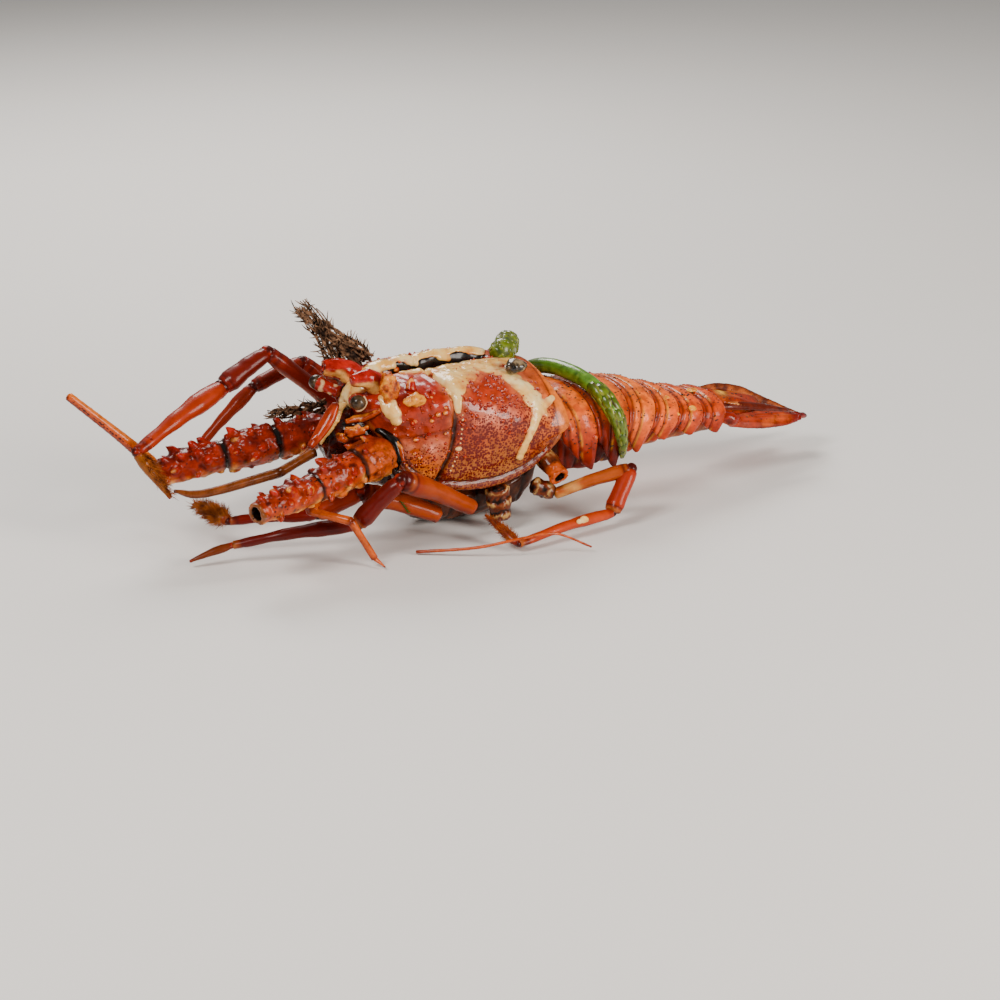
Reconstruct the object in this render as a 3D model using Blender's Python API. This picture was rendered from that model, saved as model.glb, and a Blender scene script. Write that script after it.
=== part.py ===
"""A whole cooked spiny lobster, served with asparagus, herbs and pieces from the grill.

The lobster faces -X and lies on its breast, which has a small flat underside at z = 0, with the
origin in the middle of that flat. Left is the lobster's own left, at -Y. All sizes below are in
millimetres, and MM turns them into metres when a mesh or curve is made.
"""
import math

import bmesh
import bpy
from mathutils import Matrix, Vector

MM = 0.001
GAP = 0.3  # air left between two pieces that touch

# ---------------------------------------------------------------- driving dimensions

# Carapace: (x, half width, height of the top, height of the lower margin,
# exponent of the section's superellipse, height of the widest line as a share of the side)
CARAPACE = (
    (-66, 17.0, 84.0, 70.0, 2.4, 0.60),
    (-58, 27.0, 87.0, 61.0, 2.5, 0.66),
    (-50, 32.0, 88.5, 50.0, 2.6, 0.70),
    (-42, 35.0, 89.0, 41.0, 2.7, 0.72),
    (-30, 37.5, 89.5, 33.0, 2.7, 0.72),
    (-20, 39.0, 89.5, 29.5, 2.7, 0.72),
    (0, 42.0, 89.5, 25.5, 2.45, 0.64),
    (18, 43.2, 89.2, 27.0, 2.15, 0.52),
    (32, 43.0, 88.6, 34.0, 1.9, 0.38),
    (42, 42.0, 87.4, 44.0, 1.7, 0.25),
    (46.5, 41.0, 86.8, 49.0, 1.62, 0.20),
)
CARAPACE_STEPS = (-66, -62, -56, -50, -44, -38, -31, -26, -22.4, -20, -17.6, -14,
                  -4, 7, 17, 26, 33, 38.5, 42.5, 45.5, 46.5)
CARAPACE_TUCK = 0.15        # how far the side tucks in towards the margin
GROOVE_X = -20.0            # the groove across the neck
GROOVE_DEPTH = 1.7
GROOVE_HALF_WIDTH = 3.2
GROOVE_BEND = 0.0045        # how fast the groove curves forward on its way down the side
GROOVE_BEND_FROM = 12.0     # how far below the top that curve starts
GROOVE_BEND_REACH = 55.0    # the sections this far from the groove are upright again
RIM_HEIGHT = 5.5            # rolled rim along the lower margin
REAR_SWEEP = 6.5            # the rear edge is further back at the sides
REAR_SWEEP_FROM_X = 10.0
REAR_LIP = 0.9              # raised band along the rear edge
LIP_FROM_X = 41.0
SLIT_RISE = 6.0             # the right lip of the slit stands higher
SLIT_RISE_X = (-54, -44, 20, 44)   # where that rise begins, is full, and ends
UNDERSIDE_RISE = 1.5
UNDERSIDE_ROOM = 1.5        # space between the shell's underside and the breast

SLOT_CENTRE_Y = 4.0         # the slit along the top of the shell
SLOT = ((-46, 0.6), (-40, 2.8), (-24, 4.0), (4, 4.0), (14, 2.6), (21, 0.6))  # (x, half width)
SLOT_Z = (75.0, 109.0)      # from the slit's floor to clear above the shell

# Breast: (x, half width of the flat, height of the underside)
BREAST = ((-44, 6.0, 36.0), (-31, 7.0, 26.0), (-14, 8.0, 7.0), (-4, 9.0, 0.0), (17, 12.0, 0.0),
          (33, 13.0, 0.0), (42.5, 12.0, 12.0))
BREAST_INSET = 8.0

# Head below the horns: (x, lowest z, highest z, half width)
HEAD = ((-84, 50.0, 63.0, 7.0), (-79, 44.0, 74.0, 10.5), (-70, 39.0, 78.0, 11.8),
        (-66.8, 37.0, 77.0, 11.8), (-66.4, 36.0, 68.6, 11.8), (-58, 31.0, 59.8, 11.8),
        (-50, 27.0, 49.4, 11.0), (-45.5, 26.0, 43.2, 10.0))
HEAD_CENTRE_Y = -2.4

HORNS = (
    # centre line, radius at the base and at the tip, depth of the hollow in the tip
    (((-50, -13, 83), (-56, -14, 89.5), (-62, -15, 93.8), (-71, -15, 94)), 6.4, 2.6, 0.0),
    (((-52, 11, 83), (-59, 11, 90), (-66, 12.5, 93.5), (-74, 14.5, 94.5)), 7.5, 4.0, 3.0),
)

EYE_RADIUS = 4.6
EYES = {"left": ((-70.5, -20, 83), (-66, -8, 80)), "right": ((-75, 20, 85), (-67, 9, 80.5))}

# Antenna segments: (start, end, radii along the segment, depth of the hollow end)
ANTENNA_LEFT = (
    ((-57.5, -27, 54.5), (-77.5, -31, 51), (9.5, 12.6, 13.0, 11.5), 0),
    ((-79, -31.5, 50.7), (-105.5, -36.5, 45.5), (10.4, 11.2, 10.2, 9.2), 0),
    ((-107, -36.8, 45.2), (-146, -45.5, 39.6), (9.4, 9.2, 8.2, 6.6), 6.0),
)
ANTENNA_RIGHT = (
    ((-68, 24, 56), (-97, 26, 52.5), (9.5, 11.6, 11.2, 10.4), 0),
    ((-99, 26.5, 52.2), (-126, 31.5, 48.5), (11.2, 12.4, 11.8, 9.5), 0),
    ((-128.5, 32, 48.2), (-165.5, 39, 41.5), (9.2, 10.0, 9.4, 7.6), 0),
)
ANTENNA_BORE = 0.55         # radius of the broken end's hole, as a share of the end
FLAGELLUM = ((-172, 41, 40.5), (-169, 43.5, 51), (-182, 46, 63.5), (-209.5, 50, 89.5))
FLAGELLUM_RADII = (4.4, 2.5)

ANTENNULE_LEFT = ((-80, -12, 81.5), (-98, -16, 61))
ANTENNULE_RIGHT = ((-86, 3, 51), (-108, 2, 43), (-152, 4, 38), (-168, 9, 40.5))
ANTENNULE_RIGHT_RADII = (3.0, 3.0, 2.6, 1.0)
PALP_LEFT = ((-98, -23, 33.5), (-106, -31, 30), (-91, -49, 27), (-79, -52.5, 5), (-76.5, -60, 1.6))
PALP_RADII = (3.2, 3.0, 2.6, 1.9, 0.6)
WHISKER = ((-50, -47, 1.6), (-25, -67, 5.5), (-7, -79, 10.5), (9, -83.5, 12.4), (19, -86, 11),
           (34, -93, 3.5))
WHISKER_RADII = (0.95, 0.65)

# Abdomen: each joint line as (x at the top, x at the foot), and the sections it runs through
ABDOMEN_JOINTS = ((47, 54), (72, 75), (100, 91), (121, 107), (138, 126), (155, 147), (171, 168))
ABDOMEN_FOOT_Z = 30.0
ABDOMEN = (
    # x, half width, height of the top, height of the underside
    (46, 36.0, 71.5, 24.0),
    (72, 36.5, 69.5, 24.0),
    (100, 35.0, 67.5, 26.0),
    (121, 32.5, 61.5, 27.5),
    (138, 30.0, 56.0, 28.5),
    (155, 27.5, 51.5, 28.5),
    (172, 24.0, 48.5, 28.0),
)
ABDOMEN_BANDS = ((0, 0.15), (0.24, 0.5), (0.5, 0.82), (0.78, 1.0), (1, 0.42))  # (share, hang)
BAND_HEIGHT = 0.9
PLEURON_TIPS_Z = (25.0, 23.5, 29.0, 33.0, 32.0, 29.5)
ABDOMEN_FULLNESS = 2.3
PLEURON_THICKNESS = 2.6

# Tail fan leaves: (base, tip, width, thickness, roll in degrees)
TAIL_LEAVES = {
    "telson": ((171.8, 1, 45.5), (207, 1.5, 37.0), 26, 5.6, 0),
    "uropod_left_inner": ((173, -10.5, 36), (236, -3.5, 24), 17, 4.2, 20),
    "uropod_left_outer": ((172.8, -21, 34.5), (222, -20.5, 29.5), 13.5, 5.4, 36),
    "uropod_right_inner": ((173, 11.5, 38), (247, 8.5, 18.5), 17.5, 4.2, -12),
    "uropod_right_outer": ((172, 24, 31), (230, 28, 20), 13, 3.6, -24),
}

# Legs: joints from the body out, and (width, width) of each piece in plain half thickness
LEG_PARTS = ("thigh", "knee", "shin", "toe")
LEGS = {
    "leg_left1": (((-31, -37, 17), (-72, -25.5, 33.4), (-92, -11, 20), (-139, 3, 20), (-147, 30, 23.5)),
                  ((6.0, 7.2), (5.8, 6.2), (4.8, 3.2), (5.0, 1.2))),
    "leg_left2": (((-12, -40, 19), (-61, -51, 46), (-82, -38.5, 20.6), (-143, -9, 10.5), (-166, -4, 4)),
                  ((6.0, 7.6), (5.9, 6.6), (5.2, 3.2), (2.8, 0.9))),
    "leg_left4": (((44, -39, 17), (83, -56, 30), (66, -63, 8.8), (0, -72, 4.8), (-6, -46, 15)),
                  ((4.0, 4.8), (5.2, 5.4), (4.0, 2.8), (3.2, 0.9))),
    "leg_right1": (((-40, 44, 50), (-89, 52, 96), (-118.5, 50, 80.8), (-180, 30, 58.5), (-165, 21, 33)),
                   ((5.6, 5.9), (5.8, 7.0), (6.8, 4.2), (4.4, 1.1))),
    "leg_right2": (((-20, 50, 44), (-61, 65, 83), (-92, 65, 73), (-126, 65, 44), (-140, 61, 36)),
                   ((5.4, 5.8), (5.6, 5.2), (4.8, 3.2), (1.9, 0.8))),
}
LEG_FLATNESS = 0.82         # depth of a leg piece as a share of its width
LEG_ARCH = 0.018            # rise of a leg piece's middle, as a share of its length
SHARP_BEND = math.radians(62)
LEG_BASIS = ((33, -33, 22), (42.6, -38.2, 17.6), 5.4, 4.6)
# Stumps of the broken legs: (start, end, radius, radius, depth of the hollow end)
STUMPS = {
    "stump_left3": ((10, -31.5, 24), (11.5, -34, 7), 7.2, 6.2, 0),
    "stump_left5": ((42, -29, 37), (43.5, -44, 28), 6.2, 5.6, 5.0),
}
# The right legs that fold away low beside the body, each as one piece
FOLDED_LEGS = {
    "leg_right3": ((0, 37, 17), (14, 60, 33), (24, 72, 10), (-2, 78, 4.5)),
    "leg_right4": ((22, 37, 15), (40, 58, 31), (51, 70, 9), (30, 80, 4.5)),
    "leg_right5": ((40, 36, 21), (62, 50, 28), (70, 60, 8), (58, 76, 4.0)),
}
FOLDED_LEG_RADII = (4.6, 4.8, 4.2, 1.4)

ASPARAGUS_RADIUS = 4.9
SPEAR_X = (64, 90)                 # from the cut end to the tip
SPEAR_TURN = (62, -122)            # degrees round the abdomen, from the right side to the left
SPEAR_CLEARANCE = 0.8
BUD = ((27.5, 0, 90.8), (34.5, 3, 91.8), (43, 13, 91.8), (50, 26, 89.3), (57, 40, 83), (62, 53, 72))
BUD_RADII = (4.4, 7.0, 6.4, 5.6, 5.0, 4.8)

SPRIG_LARGE = ((-46, 27.5, 92), (-84, 26, 130.5), 10.0, 3.5)
SPRIG_SMALL = ((-66, 35, 66), (-102, 34, 66), 3.4, 2.4)
# Lumps: (centre, half sizes, turn about Z in degrees)
LUMPS = {
    "mushroom": ((27.5, -22, 89.6), (7.5, 6.5, 4.2), 20),
    "crust_chunk": ((-54.5, -26, 90.5), (5.0, 6.5, 9.0), 15),
    "cheese_nugget": ((-43, -34.5, 84), (7.0, 4.0, 3.6), -10),
}

# ---------------------------------------------------------------- scene and materials

for thing in list(bpy.data.objects):
    bpy.data.objects.remove(thing, do_unlink=True)

LOBSTER = bpy.data.collections.new("cooked_lobster")
CUTTERS = bpy.data.collections.new("cutters")
bpy.context.scene.collection.children.link(LOBSTER)
bpy.context.scene.collection.children.link(CUTTERS)


def linear(channel):
    """One sRGB channel, 0 to 1, as linear light."""
    if channel <= 0.04045:
        return channel / 12.92
    return ((channel + 0.055) / 1.055) ** 2.4


def material(name, colour, roughness):
    """A Principled material of an sRGB hex colour."""
    made = bpy.data.materials.new(name)
    made.use_nodes = True
    bsdf = made.node_tree.nodes["Principled BSDF"]
    rgb = [linear(int(colour[i:i + 2], 16) / 255) for i in (0, 2, 4)]
    bsdf.inputs["Base Color"].default_value = (*rgb, 1.0)
    bsdf.inputs["Roughness"].default_value = roughness
    bsdf.inputs["Metallic"].default_value = 0.0
    return made


SHELL = material("orange_red_shell", "C4502A", 0.3)
SHELL_TAIL = material("tail_shell", "CF5A36", 0.35)
SHELL_RED = material("deep_red_shell", "A83219", 0.28)
FLESH = material("breast_and_joints", "8A5230", 0.5)
HEAD_DARK = material("dark_head", "4A2214", 0.3)
EYE = material("eye", "3B3326", 0.15)
HAIR = material("golden_bristles", "B8701E", 0.7)
GREEN = material("asparagus_green", "3E7A1E", 0.35)
HERB = material("burnt_herb", "3A2A1C", 0.8)
FRIED = material("fried_crust", "C07A35", 0.5)
MUSHROOM = material("dark_mushroom", "2E2620", 0.25)

# ---------------------------------------------------------------- helpers


def profile(rows, x):
    """Values of a table at x, on a smooth curve through its rows."""
    x = min(max(x, rows[0][0]), rows[-1][0])
    i = next(k for k in range(len(rows) - 1) if x <= rows[k + 1][0])
    before = rows[max(i - 1, 0)]
    after = rows[min(i + 2, len(rows) - 1)]
    low, high = rows[i], rows[i + 1]
    step = high[0] - low[0]
    t = (x - low[0]) / step
    values = []
    for k in range(1, len(low)):
        slope_low = (high[k] - before[k]) / (high[0] - before[0]) * step
        slope_high = (after[k] - low[k]) / (after[0] - low[0]) * step
        values.append((2 * t**3 - 3 * t**2 + 1) * low[k] + (t**3 - 2 * t**2 + t) * slope_low
                      + (3 * t**2 - 2 * t**3) * high[k] + (t**3 - t**2) * slope_high)
    return values


def profile_straight(rows, x):
    """Values of a table at x, on straight lines between its rows."""
    i = next(k for k in range(len(rows) - 1) if x <= rows[k + 1][0])
    share = (x - rows[i][0]) / (rows[i + 1][0] - rows[i][0])
    return [a + (b - a) * share for a, b in zip(rows[i][1:], rows[i + 1][1:])]


def smooth_path(points, count):
    """Points evenly spaced in parameter on a smooth curve through the given points."""
    rows = [(i, *point) for i, point in enumerate(points)]
    last = len(points) - 1
    return [Vector(profile(rows, last * i / (count - 1))) for i in range(count)]


def along(values, t):
    """A value read at share t of an evenly spaced list."""
    if len(values) == 1:
        return values[0]
    return profile([(i, value) for i, value in enumerate(values)], t * (len(values) - 1))[0]


def add_object(name, mesh, look, collection=None):
    """An object with one material, smooth but for its sharp edges."""
    made = bpy.data.objects.new(name, mesh)
    (collection or LOBSTER).objects.link(made)
    mesh.materials.clear()
    mesh.materials.append(look)
    mesh.shade_smooth()
    mesh.set_sharp_from_angle(angle=math.radians(40))
    return made


def mesh_from(bm, name):
    """A mesh of triangles from a bmesh built in millimetres, faces pointing out."""
    bmesh.ops.triangulate(bm, faces=bm.faces)
    bmesh.ops.recalc_face_normals(bm, faces=bm.faces)
    bmesh.ops.scale(bm, vec=(MM, MM, MM), verts=bm.verts)
    mesh = bpy.data.meshes.new(name)
    bm.to_mesh(mesh)
    bm.free()
    return mesh


def loft(rings, fan_ends=False):
    """A bmesh skinned over rings of equal point count, closed at both ends.

    Ends that don't lie in a plane are closed by a fan of triangles round their middle.
    """
    bm = bmesh.new()
    rows = [[bm.verts.new(point) for point in ring] for ring in rings]
    for near, far in zip(rows, rows[1:]):
        for k in range(len(near)):
            nxt = (k + 1) % len(near)
            bm.faces.new((near[k], near[nxt], far[nxt], far[k]))
    ends = [bm.faces.new(rows[0]), bm.faces.new(rows[-1])]
    if fan_ends:
        bmesh.ops.poke(bm, faces=ends)
    return bm


def frame_along(direction, up=Vector((0, 0, 1))):
    """Side and upward unit vectors across a direction."""
    side = direction.cross(up).normalized()
    return side, side.cross(direction).normalized()


def tube_rings(path, radii, sides, flatness=1.0, up=Vector((0, 0, 1))):
    """Oval rings square to a path, with radii read along it."""
    rings = []
    last = len(path) - 1
    for i, point in enumerate(path):
        direction = (path[min(i + 1, last)] - path[max(i - 1, 0)]).normalized()
        side, top = frame_along(direction, up)
        radius = along(radii, i / last)
        ring = []
        for k in range(sides):
            angle = 2 * math.pi * (k + 0.5) / sides
            ring.append(point + side * (radius * math.cos(angle))
                        + top * (radius * flatness * math.sin(angle)))
        rings.append(ring)
    return rings


def limb(name, path, radii, look, sides=10, flatness=1.0, hollow=0.0, bore=ANTENNA_BORE):
    """A tapered solid along a path, with an optional blind hole in its far end."""
    path = [Vector(point) for point in path]
    rings = tube_rings(path, radii, sides, flatness)
    if hollow:
        end, direction = path[-1], (path[-1] - path[-2]).normalized()
        rings.append([end + (point - end) * bore for point in rings[-1]])
        rings.append([point - direction * hollow for point in rings[-1]])
    return add_object(name, mesh_from(loft(rings), name), look)


def shaped(start, end, count):
    """Evenly spaced points from start to end."""
    return [Vector(start).lerp(Vector(end), i / (count - 1)) for i in range(count)]


def tube(name, points, radii, look, count, resolution=2):
    """A thin rod along a smooth curve, as a bevelled curve turned into a closed mesh."""
    curve = bpy.data.curves.new(name, "CURVE")
    curve.dimensions = "3D"
    curve.bevel_depth = MM
    curve.bevel_resolution = resolution
    curve.use_fill_caps = True
    spline = curve.splines.new("POLY")
    spline.points.add(count - 1)
    for i, point in enumerate(smooth_path(points, count)):
        spline.points[i].co = (*(point * MM), 1)
        spline.points[i].radius = along(radii, i / (count - 1))
    guide = bpy.data.objects.new(name + "_line", curve)
    CUTTERS.objects.link(guide)
    evaluated = guide.evaluated_get(bpy.context.evaluated_depsgraph_get())
    mesh = bpy.data.meshes.new_from_object(evaluated)
    bpy.data.objects.remove(guide, do_unlink=True)
    bm = bmesh.new()
    bm.from_mesh(mesh)
    bmesh.ops.remove_doubles(bm, verts=bm.verts, dist=0.00001)
    bmesh.ops.recalc_face_normals(bm, faces=bm.faces)
    bm.to_mesh(mesh)
    bm.free()
    return add_object(name, mesh, look)


def blob(name, centre, half_sizes, turn, look, roughness=0.08, segments=10):
    """A lumpy rounded piece: a sphere stretched and gently waved."""
    bm = bmesh.new()
    bmesh.ops.create_uvsphere(bm, u_segments=segments, v_segments=segments // 2 + 1, radius=1)
    for vert in bm.verts:
        x, y, z = vert.co
        vert.co *= 1 + roughness * (math.sin(5 * x + 2 * z) + math.sin(4 * y - 3 * x))
        vert.co = Vector((vert.co.x * half_sizes[0], vert.co.y * half_sizes[1], vert.co.z * half_sizes[2]))
    bmesh.ops.rotate(bm, verts=bm.verts, matrix=Matrix.Rotation(math.radians(turn), 3, "Z"))
    bmesh.ops.translate(bm, verts=bm.verts, vec=centre)
    return add_object(name, mesh_from(bm, name), look)


def combine(target, other, operation):
    """A Boolean of the target with another object, which becomes a guide."""
    modifier = target.modifiers.new(operation.lower(), "BOOLEAN")
    modifier.operation = operation
    modifier.solver = "EXACT"
    modifier.object = other
    for collection in list(other.users_collection):
        collection.objects.unlink(other)
    CUTTERS.objects.link(other)
    other.hide_render = True
    other.display_type = "WIRE"


def clear_of(target, *others):
    """Cuts away of the target what comes within the gap of other pieces."""
    for other in others:
        mesh = other.data.copy()
        bm = bmesh.new()
        bm.from_mesh(mesh)
        bm.normal_update()
        offsets = [vert.normal * (GAP * MM * min(vert.calc_shell_factor(), 2.5)) for vert in bm.verts]
        for vert, offset in zip(bm.verts, offsets):
            vert.co += offset
        bm.to_mesh(mesh)
        bm.free()
        grown = bpy.data.objects.new(f"{other.name}_room_for_{target.name}", mesh)
        CUTTERS.objects.link(grown)
        combine(target, grown, "DIFFERENCE")


def raise_spines(bm, picks, height, lean):
    """Spines on chosen faces: each face is inset and its middle drawn out to a point."""
    bm.faces.ensure_lookup_table()
    chosen = [bm.faces[i] for i in picks]
    bmesh.ops.recalc_face_normals(bm, faces=bm.faces)
    for face in chosen:
        reach = math.sqrt(face.calc_area())
        bmesh.ops.inset_individual(bm, faces=[face], thickness=0.28 * reach)
        normal = face.normal.copy()
        tip = bmesh.ops.poke(bm, faces=[face])["verts"][0]
        tip.co += normal * height + lean * (0.6 * height)


# ---------------------------------------------------------------- carapace


def carapace_ring(x):
    """The shell's section at x, from the top centre down the left side and round."""
    half, top, margin, fullness, widest_share = profile(CARAPACE, x)
    tall = top - margin
    dip = GROOVE_DEPTH * max(0.0, 1 - abs(x - GROOVE_X) / GROOVE_HALF_WIDTH)
    lip = REAR_LIP if LIP_FROM_X < x < CARAPACE_STEPS[-1] else 0.0
    half += lip - dip
    top += 0.5 * lip - dip
    widest = margin + widest_share * tall
    power = 2 / fullness
    side = []
    for i in range(8):
        angle = math.pi / 2 * i / 7
        side.append((half * math.sin(angle) ** power, widest + (top - widest) * math.cos(angle) ** power))
    rim = min(RIM_HEIGHT, 0.16 * tall)
    foot = half * (1 - CARAPACE_TUCK)
    for share in (0.33, 0.66):
        side.append((half - (half - foot) * share**1.6, widest - (widest - margin - rim) * share))
    side += [(foot, margin + rim), (foot - 1.0, margin + 0.8 * rim), (foot + 0.4, margin + 0.55 * rim),
             (foot - 0.4, margin), (foot - 3.0, margin + UNDERSIDE_RISE)]
    left = [carapace_place(x, -y, z) for y, z in side]
    begins, full, still_full, ends = SLIT_RISE_X
    lift = SLIT_RISE * max(0.0, min(1.0, (x - begins) / (full - begins), (ends - x) / (ends - still_full)))
    right = [carapace_place(x, y, z + lift * max(0.0, 1 - (y / half) ** 2) * (z > widest))
             for y, z in side[:0:-1]]
    return left + right


def carapace_place(x, y, z):
    """A point of a section, moved for the curve of the groove and the sweep of the rear edge."""
    half, top = profile(CARAPACE, x)[:2]
    near_groove = max(0.0, 1 - abs(x - GROOVE_X) / GROOVE_BEND_REACH)
    bend = GROOVE_BEND * near_groove * max(0.0, top - z - GROOVE_BEND_FROM) ** 2
    rearward = max(0.0, x - REAR_SWEEP_FROM_X) / (CARAPACE_STEPS[-1] - REAR_SWEEP_FROM_X)
    sweep = REAR_SWEEP * rearward**2 * min(1.0, abs(y) / half) ** 2
    return Vector((x - bend + sweep, y, z))


def make_carapace():
    """The body shell with its two horns and the slit along its top."""
    rings = [carapace_ring(x) for x in CARAPACE_STEPS]
    carapace = add_object("carapace", mesh_from(loft(rings, fan_ends=True), "carapace"), SHELL)
    for i, (line, base, tip, hollow) in enumerate(HORNS):
        path = smooth_path(line, 6)
        horn = limb(f"horn_{i}", path, (base, 0.55 * (base + tip), tip), SHELL, 10, 1.0, hollow, 0.6)
        combine(carapace, horn, "UNION")
    slot_rings = []
    for x, half in SLOT:
        low, high = SLOT_Z
        slot_rings.append([Vector((x, SLOT_CENTRE_Y - half, low)), Vector((x, SLOT_CENTRE_Y + half, low)),
                           Vector((x, SLOT_CENTRE_Y + half, high)), Vector((x, SLOT_CENTRE_Y - half, high))])
    slot = add_object("slot", mesh_from(loft(slot_rings), "slot"), FLESH)
    combine(carapace, slot, "DIFFERENCE")
    return carapace


def make_breast():
    """The breast under the shell, flat where the lobster rests."""
    steps = [x for x in CARAPACE_STEPS if BREAST[0][0] <= x <= BREAST[-1][0]]
    rings = []
    for x in steps:
        half, _, margin = profile(CARAPACE, x)[:3]
        half = half * (1 - CARAPACE_TUCK) - BREAST_INSET
        flat, bottom = profile_straight(BREAST, x)
        ceiling = margin + UNDERSIDE_RISE - UNDERSIDE_ROOM
        middle = bottom + 0.45 * (ceiling - bottom)
        shoulder = flat + 0.55 * (half - flat)
        outline = [(-flat, bottom), (flat, bottom), (shoulder, middle), (half, ceiling),
                   (-half, ceiling), (-shoulder, middle)]
        rings.append([carapace_place(x, y, z) for y, z in outline])
    return add_object("breast", mesh_from(loft(rings, fan_ends=True), "breast"), FLESH)


def make_head(carapace, breast):
    """The front of the head, between the feelers and under the horns."""
    rings = []
    for x, low, high, half in HEAD:
        middle = (low + high) / 2
        ring = []
        for k in range(12):
            angle = 2 * math.pi * (k + 0.5) / 12
            square = 1.12
            y = half * max(-1, min(1, square * math.cos(angle)))
            z = middle + (high - low) / 2 * max(-1, min(1, square * math.sin(angle)))
            ring.append(Vector((x, HEAD_CENTRE_Y + y, z)))
        rings.append(ring)
    head = add_object("head_front", mesh_from(loft(rings), "head_front"), HEAD_DARK)
    clear_of(head, carapace, breast)
    return head


def make_eyes(head, carapace):
    """Each eye is a ball on a short stalk that rises from the head."""
    for side, (centre, root) in EYES.items():
        bm = bmesh.new()
        bmesh.ops.create_uvsphere(bm, u_segments=10, v_segments=6, radius=EYE_RADIUS)
        bmesh.ops.translate(bm, verts=bm.verts, vec=centre)
        eye = add_object(f"eye_{side}", mesh_from(bm, f"eye_{side}"), EYE)
        stalk = limb(f"eyestalk_{side}", shaped(root, centre, 4), (4.2, 3.4, 3.8, 3.6), SHELL_RED, 8)
        combine(eye, stalk, "UNION")
        clear_of(eye, head, carapace)


# ---------------------------------------------------------------- feelers


def antenna_segment(name, start, end, radii, hollow, look):
    """One spiny piece of an antenna: spines on its upper and outer faces, pointing forward."""
    sides, count = 10, 7
    path = shaped(start, end, count)
    rings = tube_rings(path, radii, sides, 0.95)
    if hollow:
        direction = (path[-1] - path[-2]).normalized()
        rings.append([path[-1] + (point - path[-1]) * ANTENNA_BORE for point in rings[-1]])
        rings.append([point - direction * hollow for point in rings[-1]])
    bm = loft(rings)
    forward = (path[-1] - path[0]).normalized()
    picks = []
    for span in range(1, count - 1):
        for k in range(sides):
            if (k + 3 * span) % 5 == 0:
                picks.append(span * sides + k)
    raise_spines(bm, picks, 1.9, forward)
    return add_object(name, mesh_from(bm, name), look)


def make_antennae(head, carapace):
    """Both thick antennae, the whip of the right one and the broken end of the left one."""
    for side, pieces in (("left", ANTENNA_LEFT), ("right", ANTENNA_RIGHT)):
        for i, (start, end, radii, hollow) in enumerate(pieces):
            piece = antenna_segment(f"antenna_{side}_{i + 1}", start, end, radii, hollow, SHELL_RED)
            if i == 0:
                clear_of(piece, carapace, head)
            last = piece
    whip = tube("flagellum_right", FLAGELLUM, FLAGELLUM_RADII, SHELL, 10, 2)
    clear_of(whip, last)


def make_antennules(head):
    """The small feelers, a jointed palp and a loose whisker."""
    start, end = ANTENNULE_LEFT
    limb("antennule_left", shaped(start, end, 5), (3.0, 4.4, 4.6, 3.8, 2.6), SHELL_RED, 8, 0.7)
    rod = tube("antennule_right", ANTENNULE_RIGHT, ANTENNULE_RIGHT_RADII, SHELL, 10, 2)
    clear_of(rod, head)
    tube("palp_left", PALP_LEFT, PALP_RADII, SHELL, 11, 2)
    tube("whisker", WHISKER, WHISKER_RADII, SHELL, 12, 2)


# ---------------------------------------------------------------- abdomen and tail fan


def joint_x(joint, z, top):
    """Where a joint line between two tail segments lies at a height."""
    at_top, at_foot = joint
    return at_foot + (at_top - at_foot) * (z - ABDOMEN_FOOT_Z) / (top - ABDOMEN_FOOT_Z)


def abdomen_ring(index, share, hang):
    """A section of one tail segment, share 0 at its front joint and 1 at its rear joint.

    hang says how far down the side plate reaches there, as a share of its full length.
    """
    front, rear = ABDOMEN_JOINTS[index], ABDOMEN_JOINTS[index + 1]
    x_top = front[0] + (rear[0] - front[0]) * share
    half, top, bottom = profile(ABDOMEN, x_top)
    swell = BAND_HEIGHT * (abs(math.sin(2 * math.pi * share)) - 1 + 0.8 * share)
    half += swell
    top += swell
    widest = bottom + 0.5 * (top - bottom)
    tip = PLEURON_TIPS_Z[index]
    low = widest - (widest - tip) * hang
    side = []
    power = 2 / ABDOMEN_FULLNESS
    for i in range(6):
        angle = math.pi / 2 * i / 5
        side.append((half * math.sin(angle) ** power, widest + (top - widest) * math.cos(angle) ** power))
    inner = half - PLEURON_THICKNESS
    side += [(half - 0.6, (widest + low) / 2), (half - 2.2, low), (inner - 2.4, low + 0.8),
             (inner - 3.5, max(bottom + 2, low + 3)), (inner - 9, bottom)]
    ring = []
    front_top, rear_top = profile(ABDOMEN, front[0])[1], profile(ABDOMEN, rear[0])[1]
    for sign, points in ((-1, side), (1, side[:0:-1])):
        for y, z in points:
            near, far = joint_x(front, z, front_top), joint_x(rear, z, rear_top)
            inset = GAP / 2 / (far - near)
            ring.append(Vector((near + (far - near) * (inset + (1 - 2 * inset) * share), sign * y, z)))
    return ring


def make_abdomen(carapace, breast):
    """Six tail segments, each with two bands and a pointed plate down each side."""
    for index in range(len(PLEURON_TIPS_Z)):
        rings = [abdomen_ring(index, share, hang) for share, hang in ABDOMEN_BANDS]
        name = f"abdomen_{index + 1}"
        segment = add_object(name, mesh_from(loft(rings), name), SHELL_TAIL)
        if index == 0:
            clear_of(segment, carapace, breast)


def make_tail_fan():
    """The telson over two leaves on each side, half folded together."""
    widths = (0.5, 0.8, 0.98, 1.0, 0.86, 0.5)
    for name, (base, tip, width, thickness, roll) in TAIL_LEAVES.items():
        path = shaped(base, tip, len(widths))
        direction = (path[-1] - path[0]).normalized()
        up = Matrix.Rotation(math.radians(roll), 3, direction) @ Vector((0, 0, 1))
        side, top = frame_along(direction, up)
        rings = []
        for i, point in enumerate(path):
            half = width * widths[i] / 2
            thick = thickness * (1 - 0.55 * i / (len(widths) - 1)) / 2
            ring = []
            for k in range(10):
                angle = 2 * math.pi * k / 10
                across = math.cos(angle)
                arch = -0.10 * width * across**2
                ring.append(point + side * (half * across) + top * (thick * math.sin(angle) + arch))
            rings.append(ring)
        add_object(name, mesh_from(loft(rings), name), SHELL_TAIL)


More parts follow.
